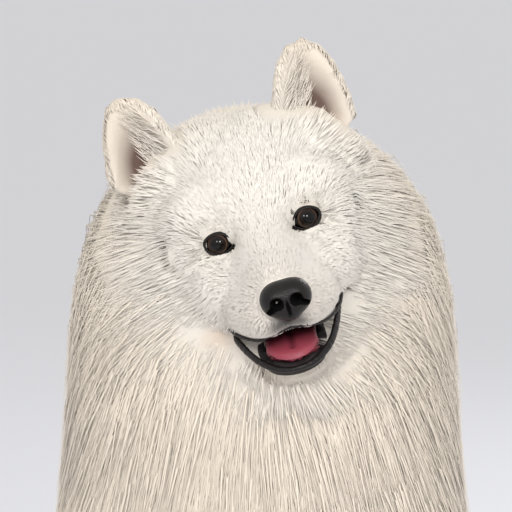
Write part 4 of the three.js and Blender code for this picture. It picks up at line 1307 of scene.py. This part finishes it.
root_region = region[picks]
root_ear = is_ear[picks]
root_cup = in_cup[picks]
LEAST_DEPTH = 1.5
root_depth = np.maximum(depth[picks], LEAST_DEPTH)
root_trim = trim[picks]


def turn_about(ways, axes, degrees):
    angle = np.radians(degrees)[:, None]
    c, s = np.cos(angle), np.sin(angle)
    return ways * c + np.cross(axes, ways) * s + axes * (ways * axes).sum(1)[:, None] * (1 - c)


def flat_to(ways, axes):
    return unit(ways - axes * (ways * axes).sum(1)[:, None])


# Each tuft: stations from root to tip, with how high each stands in the coat
UNEVEN = 0.07  # how much lower the lowest tips stand
STRAYS, STRAY_RISE = 0.06, 0.05  # the share of tufts whose tips stand proud, and by how much
LENGTH_SPAN, STRAY_TURN, ROOT_DEPTH, FLOOR_GAP = (0.88, 1.14), 5, 0.6, 0.8
EAR_LENGTH, HOLLOW_LENGTH, EAR_SPREAD = 7.5, 15, 0.4
LONG_LENGTH, SHORT_LENGTH = (6.0, 0.95), (2.0, 1.75)  # so much, and a part of the coat's depth
LONG = ((0, 0.2, 1), (-0.02, 0.95, 1))
SHORT = ((0, 0.5, 1), (-0.1, 0.9, 1))
skin_tree = BVHTree.FromPolygons(skin_points.tolist(), corners.tolist())


def onto_skin(points):
    """The nearest places on the skin, with the skin's way out there."""
    found = [skin_tree.find_nearest(Vector(point)) for point in points]
    spots = np.array([tuple(place) for place, _, _, _ in found])
    ways = smooth_normal[corners[[number for _, _, number, _ in found]]].mean(1)
    return spots, unit(ways)


def trace(points, normals, lie_of, deep, cut, shape, where):
    """The stations of each tuft and the ways out of the coat there, along a lie of the coat."""
    along, rises = shape
    count = len(points)
    if shape is LONG:
        longest = LONG_LENGTH[0] + LONG_LENGTH[1] * deep
    else:
        body_length = SHORT_LENGTH[0] + SHORT_LENGTH[1] * deep
        longest = {"body": body_length, "ear": EAR_LENGTH, "hollow": HOLLOW_LENGTH}[where]
    length = longest * cut * rng.uniform(*LENGTH_SPAN, count)
    proud = STRAY_RISE * (rng.random(count) < STRAYS)
    high = (1 + proud - UNEVEN * rng.random(count) ** 1.5) * cut
    stray = rng.normal(0, STRAY_TURN, count)
    field = fur_field if shape is SHORT else coat_field
    spot = points
    stations, outward = [spot - normals * ROOT_DEPTH], [normals]
    for i in range(1, len(along)):
        way = turn_about(flat_to(lie_of(spot), normals), normals, stray)
        spot = spot + way * ((along[i] - along[i - 1]) * length)[:, None]
        if where == "hollow":
            spot = spot + normals * ((rises[i] - rises[i - 1]) * deep * high)[:, None]
        elif where == "ear":
            spot, normals = onto_skin(spot)
            spot = spot + normals * (rises[i] * deep * high)[:, None]
        else:
            spot, normals = settle(field, spot, rises[i] * high, 2 if shape is LONG else 1, 40.0)
            spot[:, 2] = np.maximum(spot[:, 2], FLOOR_GAP)
        stations.append(spot)
        outward.append(normals)
    return np.stack(stations, 1), np.stack(outward, 1)


CLUMP_SWAY, CLUMP_WAVE = 4, 9


def clumped(stations, cell, share):
    """Draws the tips of tufts that grow close together towards one another."""
    start = stations[:, 0] + CLUMP_SWAY * np.sin(stations[:, 0][:, [1, 2, 0]] / CLUMP_WAVE)
    keys = np.floor(start / cell).astype(int)
    _, which = np.unique(keys, axis=0, return_inverse=True)
    which = which.ravel()
    size = np.bincount(which)[:, None]
    last = stations.shape[1] - 1
    for i in range(1, last + 1):
        gathered = [np.bincount(which, stations[:, i, k]) for k in range(3)]
        centre = np.column_stack(gathered) / size
        pull = share * (i / last) ** 1.5
        stations[:, i] += (centre[which] - stations[:, i]) * pull
    return stations


SOFTNESS = 0.95  # how far the tufts' shading follows the coat's own surface
PATCH = 0.003  # the size of a tuft's patch of the map
TUFT_PROFILE = ([0, 0.4, 0.75, 1], [0.8, 1, 0.7, 0])
TUFT_SHADES = (0.975, 1.015)


def tufts(name, stations, outward, width, uv):
    """Three-sided tapered tufts over traced stations, closed at the root and pointed at the tip."""
    count, steps, _ = stations.shape
    ways = np.gradient(stations, axis=1)
    across = unit(np.cross(ways, outward))
    up = unit(np.cross(across, ways))
    profile = np.interp(np.linspace(0, 1, steps), *TUFT_PROFILE)
    half = width[:, None, None] / 2 * profile[None, :, None]
    rings = np.stack([
        stations + across * half - up * half * 0.15,
        stations + up * half * 0.4,
        stations - across * half - up * half * 0.15,
    ], 2)
    body = rings[:, :-1].reshape(count, (steps - 1) * 3, 3)
    points = np.concatenate([body, stations[:, -1:]], 1)
    per = points.shape[1]
    quads, tris = [], [(0, 1, 2)]
    for s in range(steps - 2):
        for k in range(3):
            a, b = s * 3 + k, s * 3 + (k + 1) % 3
            quads.append((b, a, a + 3, b + 3))
    for k in range(3):
        tris.append(((steps - 2) * 3 + (k + 1) % 3, (steps - 2) * 3 + k, per - 1))
    base = (np.arange(count) * per)[:, None, None]
    faces = (np.array(quads)[None] + base).reshape(-1, 4).tolist()
    faces += (np.array(tris)[None] + base).reshape(-1, 3).tolist()
    made = blank(name, points.reshape(-1, 3), faces)
    mesh = made.data
    level = np.r_[np.repeat(np.linspace(0, 1, steps)[:-1], 3), 1.0]
    side_of = np.r_[np.tile([0.0, 0.5, 1.0], steps - 1), 0.5]
    place_u = uv[:, None, 0] + (side_of[None] - 0.5) * PATCH
    place_v = uv[:, None, 1] + (level[None] - 0.5) * PATCH
    spots = np.stack([place_u, place_v], 2).reshape(-1, 2)
    index = read(mesh.loops, "vertex_index", 1, np.int32)
    mesh.uv_layers.new(name="OFBake").data.foreach_set("uv", spots[index].astype(np.float32).ravel())
    paint(made, "along", np.tile(level, count))
    colour = tint_of(stations[:, 0] * 0.5 + stations[:, -1] * 0.5)
    colour = colour * rng.uniform(*TUFT_SHADES, count)[:, None]
    paint(made, "tint", np.repeat(colour, per, axis=0))
    smooth(made)
    own = np.stack([across, up, -across], 2)[:, :-1]
    soft = outward[:, :-1, None, :] * SOFTNESS + own * (1 - SOFTNESS)
    soft = np.concatenate([soft.reshape(count, -1, 3), outward[:, -1:]], 1)
    mesh.normals_split_custom_set_from_vertices(unit(soft).reshape(-1, 3).astype(np.float32))
    return dress(made, hair)


LIMIT = 190000  # triangles in a piece
EAR_NAP, HOLLOW_HAIR = 1.8, 6.0
WIDTH_SPAN = (0.8, 1.25)
OPEN_EYE, OPEN_NOSE = 1.9, 0.2  # how far tufts stay off them


def clear_of_bare(stations):
    """False for tufts that would cross an open eye, the nose or the mouth."""
    clear = np.ones(len(stations), bool)
    for i in range(1, stations.shape[1]):
        spots = stations[:, i]
        for side in (1, -1):
            local = eye_local(spots, side)
            clear &= (almond_edge(local, side) > OPEN_EYE) | (local[:, 1] > 4) | (local[:, 1] < -24)
        clear &= nose_field(spots, filled(len(spots))) > OPEN_NOSE
        clear &= ~mouth_inside(spots, -0.5, 9)
    return clear


def grow(name, chosen, lie_of, shape, where, cell, share, width, rise):
    """Grows one region's tufts, in pieces of a size that the limit allows."""
    index = np.flatnonzero(chosen)
    deep = root_depth[index] if where == "body" else np.where(root_cup[index], HOLLOW_HAIR, EAR_NAP)
    cut = root_trim[index] if shape is SHORT else np.ones(len(index))
    stations, outward = trace(roots[index], root_normal[index], lie_of, deep, cut, shape, where)
    stations = clumped(stations, cell, share)
    if shape is SHORT and where == "body":
        clear = clear_of_bare(stations)
        stations, outward, index, deep = stations[clear], outward[clear], index[clear], deep[clear]
    width = (width + rise * deep) * rng.uniform(*WIDTH_SPAN, len(index))
    per = 6 * (len(shape[0]) - 2) + 4
    parts = max(1, math.ceil(len(index) * per / LIMIT))
    for k, part in enumerate(np.array_split(np.arange(len(index)), parts)):
        title = name if parts == 1 else f"{name}_{k + 1}"
        tufts(title, stations[part], outward[part], width[part], root_uv[index][part])


def on_own_ear(points, way_of):
    """Ways over both ears, from a function of the place in an ear and its side."""
    ways = np.zeros_like(points)
    for side in (1, -1):
        mine = np.sign(put(points, head_back)[:, 0]) == side
        ways[mine] = aim(way_of(ear_local(points, side), side), ear_place(side))[mine]
    return unit(ways)


def ear_lie(points):
    """Short hair on the ears runs up and spreads towards the edges."""
    return on_own_ear(points, lambda local, side: np.column_stack([
        local[:, 0] / EAR_HALF * EAR_SPREAD, filled(len(local)), filled(len(local), 1.0)]))


def hollow_lie(points):
    """Long hair in the ears runs up and outwards from the edge by the crown, and a little forwards."""
    return on_own_ear(points, lambda local, side: np.tile((side * 0.5, -0.1, 0.85), (len(local), 1)))


SHORT_DEPTH, RUFF_FROM, CHEST_TO = 9, 492, 90
short = (root_depth < SHORT_DEPTH) & ~root_ear
on_skull = np.isin(root_region, [HEAD_PART, JAW_PART]) & ~root_ear
EYE_PART, EYE_WAVE = 1.6, 6  # how strongly the lie turns away from an open eye, and over how many millimetres


def face_lie(points):
    """The coat's lie, parting round the eyes."""
    ways = coat_lie(points)
    for side in (1, -1):
        local = eye_local(points, side)
        share = EYE_PART * np.exp(-(np.clip(almond_edge(local, side), 0, 50) / EYE_WAVE) ** 2)
        away = unit(local * (1, 0, 1))
        ways = ways + aim(away, eye_place(side)) * share[:, None]
    return unit(ways)


of_trunk = (root_region == TRUNK_PART) & ~root_ear
neck_side = of_trunk & (roots[:, 2] > RUFF_FROM)
chest_side = of_trunk & ~neck_side & (roots[:, 1] < CHEST_TO)
back_side = of_trunk & ~neck_side & ~chest_side
GROWTHS = [  # name, roots, lie, shape, place, size and share of the clumps, width and its rise with depth
    ("head_face", on_skull & short, face_lie, SHORT, "body", 4.0, 0.12, 0.62, 0.04),
    ("head_cheek", on_skull & ~short, coat_lie, SHORT, "body", 7.0, 0.14, 0.95, 0.03),
    ("head_ears", root_ear & ~root_cup, ear_lie, SHORT, "ear", 4.0, 0.1, 0.8, 0),
    ("head_ear_hollows", root_cup, hollow_lie, SHORT, "hollow", 5.0, 0.2, 0.6, 0),
    ("ruff", neck_side, coat_lie, LONG, "body", 11.0, 0.15, 1.0, 0.004),
    ("chest", chest_side, coat_lie, LONG, "body", 12.0, 0.18, 1.1, 0.006),
    ("back", back_side, coat_lie, LONG, "body", 15.0, 0.3, 1.7, 0.012),
    ("tail", root_region == TAIL_PART, tail_lie, LONG, "body", 14.0, 0.3, 1.6, 0.01),
]
for i, name in enumerate(NAMES[LIMBS_FROM:], LIMBS_FROM):
    on_limb = (root_region == i) & ~root_ear
    shape = SHORT if "paw" in name else LONG
    GROWTHS.append((name, on_limb, coat_lie, shape, "body", 12.0, 0.3, 1.3, 0.015))
for name, *growth in GROWTHS:
    grow("coat_" + name, *growth)

wool = from_frame(points_of(undercoat))
paint(undercoat, "tint", tint_of(wool))
dress(undercoat, fleece)

# The skin's own tints: as the coat's, near black in the mouth, partly its dark lining and partly painted
# shade inside the open mouth, and brown in the hollows of the ears, partly their own colour and partly
# painted shade
HOLLOW_AT, HOLLOW_WIDE = (0, 1, 16), (17, 12, 28)
skin_tint = tint_of(skin_points)
# the mouth's lining and the skin round it: near black, partly its own dark colour and partly painted shade
inside = mouth_inside(skin_points, 2.0, 12)[:, None]
skin_tint = np.where(inside, np.array(rgb("170D0E")), skin_tint)
# each ear's hollow: brown, partly the ear skin's own colour and partly painted shade in the cup
for side in (1, -1):
    local = ear_local(skin_points, side)
    hollow = np.exp(-(((local - HOLLOW_AT) / HOLLOW_WIDE) ** 2).sum(1))
    share = np.clip(hollow * 1.4, 0, 0.95)[:, None]
    skin_tint = skin_tint * (1 - share) + np.array(rgb("5E4238")) * share
paint(skin, "tint", skin_tint)
dress(skin, hide)
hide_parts("head", "ear_left", "ear_right", "lower_jaw", "neck", "torso", "rump",
            "forepaw_left", "foreleg_left", "forepaw_right", "foreleg_right", "thigh_left",
            "hind_foot_left", "thigh_right", "hind_foot_right", "tail_base", "tail_plume")

def stood(name, data, at, target):
    """A camera or a lamp at a place, turned to another."""
    made = bpy.data.objects.new(name, data)
    bpy.context.scene.collection.objects.link(made)
    made.location = at
    made.rotation_mode = "QUATERNION"
    made.rotation_quaternion = (Vector(target) - Vector(at)).to_track_quat("-Z", "Y")
    return made


# Camera at the photograph's angle
EYES_AHEAD, TARGET_FROM_EYES = 0.005, (-0.0043, 0, -0.0176)
CAMERA_AWAY, CAMERA_PITCH, CAMERA_LENS, CAMERA_WIDTH = 1.9, 6, 193.6, 36
eye_middle = np.array(sum(eye_middles, Vector()) / 2) - np.array([0, EYES_AHEAD, 0])
pitch = math.radians(CAMERA_PITCH)
view_from = Vector(eye_middle) + CAMERA_AWAY * Vector((0, -math.cos(pitch), math.sin(pitch)))
target = Vector(eye_middle) + Vector(TARGET_FROM_EYES)
camera = stood("camera", bpy.data.cameras.new("camera"), view_from, target)
camera.data.lens = CAMERA_LENS
camera.data.sensor_width = CAMERA_WIDTH
camera.data.clip_end = 100
bpy.context.scene.camera = camera

# Pale floor and soft studio light
bpy.ops.mesh.primitive_circle_add(vertices=96, radius=45, fill_type="NGON")
floor = bpy.context.active_object
floor.name = "floor"
painted = material_of("painted_floor")
surface(painted, {"Base Color": solid("E4E5EA"), "Roughness": 0.9})
floor.data.materials.append(painted)


def round_about(degrees, height, away):
    """A place at a bearing and a height angle round the eyes."""
    a, e = math.radians(degrees), math.radians(height)
    way = Vector((math.sin(a) * math.cos(e), -math.cos(a) * math.cos(e), math.sin(e)))
    return Vector(eye_middle) + way * away


DOG_MIDDLE = (0, 0, 0.5)
LAMPS = [  # name, place, size, power
    ("key_light", round_about(12, 24, 2.4), 0.55, 18),
    ("second_light", round_about(-21, 24, 2.4), 0.55, 10),
    ("rim_light", (1.2, 2.2, 2.0), 1.0, 14),
]
for name, at, size, power in LAMPS:
    lamp = bpy.data.lights.new(name, "AREA")
    lamp.shape = "DISK"
    lamp.size = size
    lamp.energy = power
    stood(name, lamp, at, DOG_MIDDLE)
world = bpy.data.worlds.new("studio")
bpy.context.scene.world = world
world.use_nodes = True
backdrop = world.node_tree.nodes["Background"].inputs
backdrop["Color"].default_value = solid("F4F3F2")
backdrop["Strength"].default_value = 0.9
bpy.context.scene.view_settings.view_transform = "Standard"
bpy.context.scene.cycles.diffuse_bounces = 10
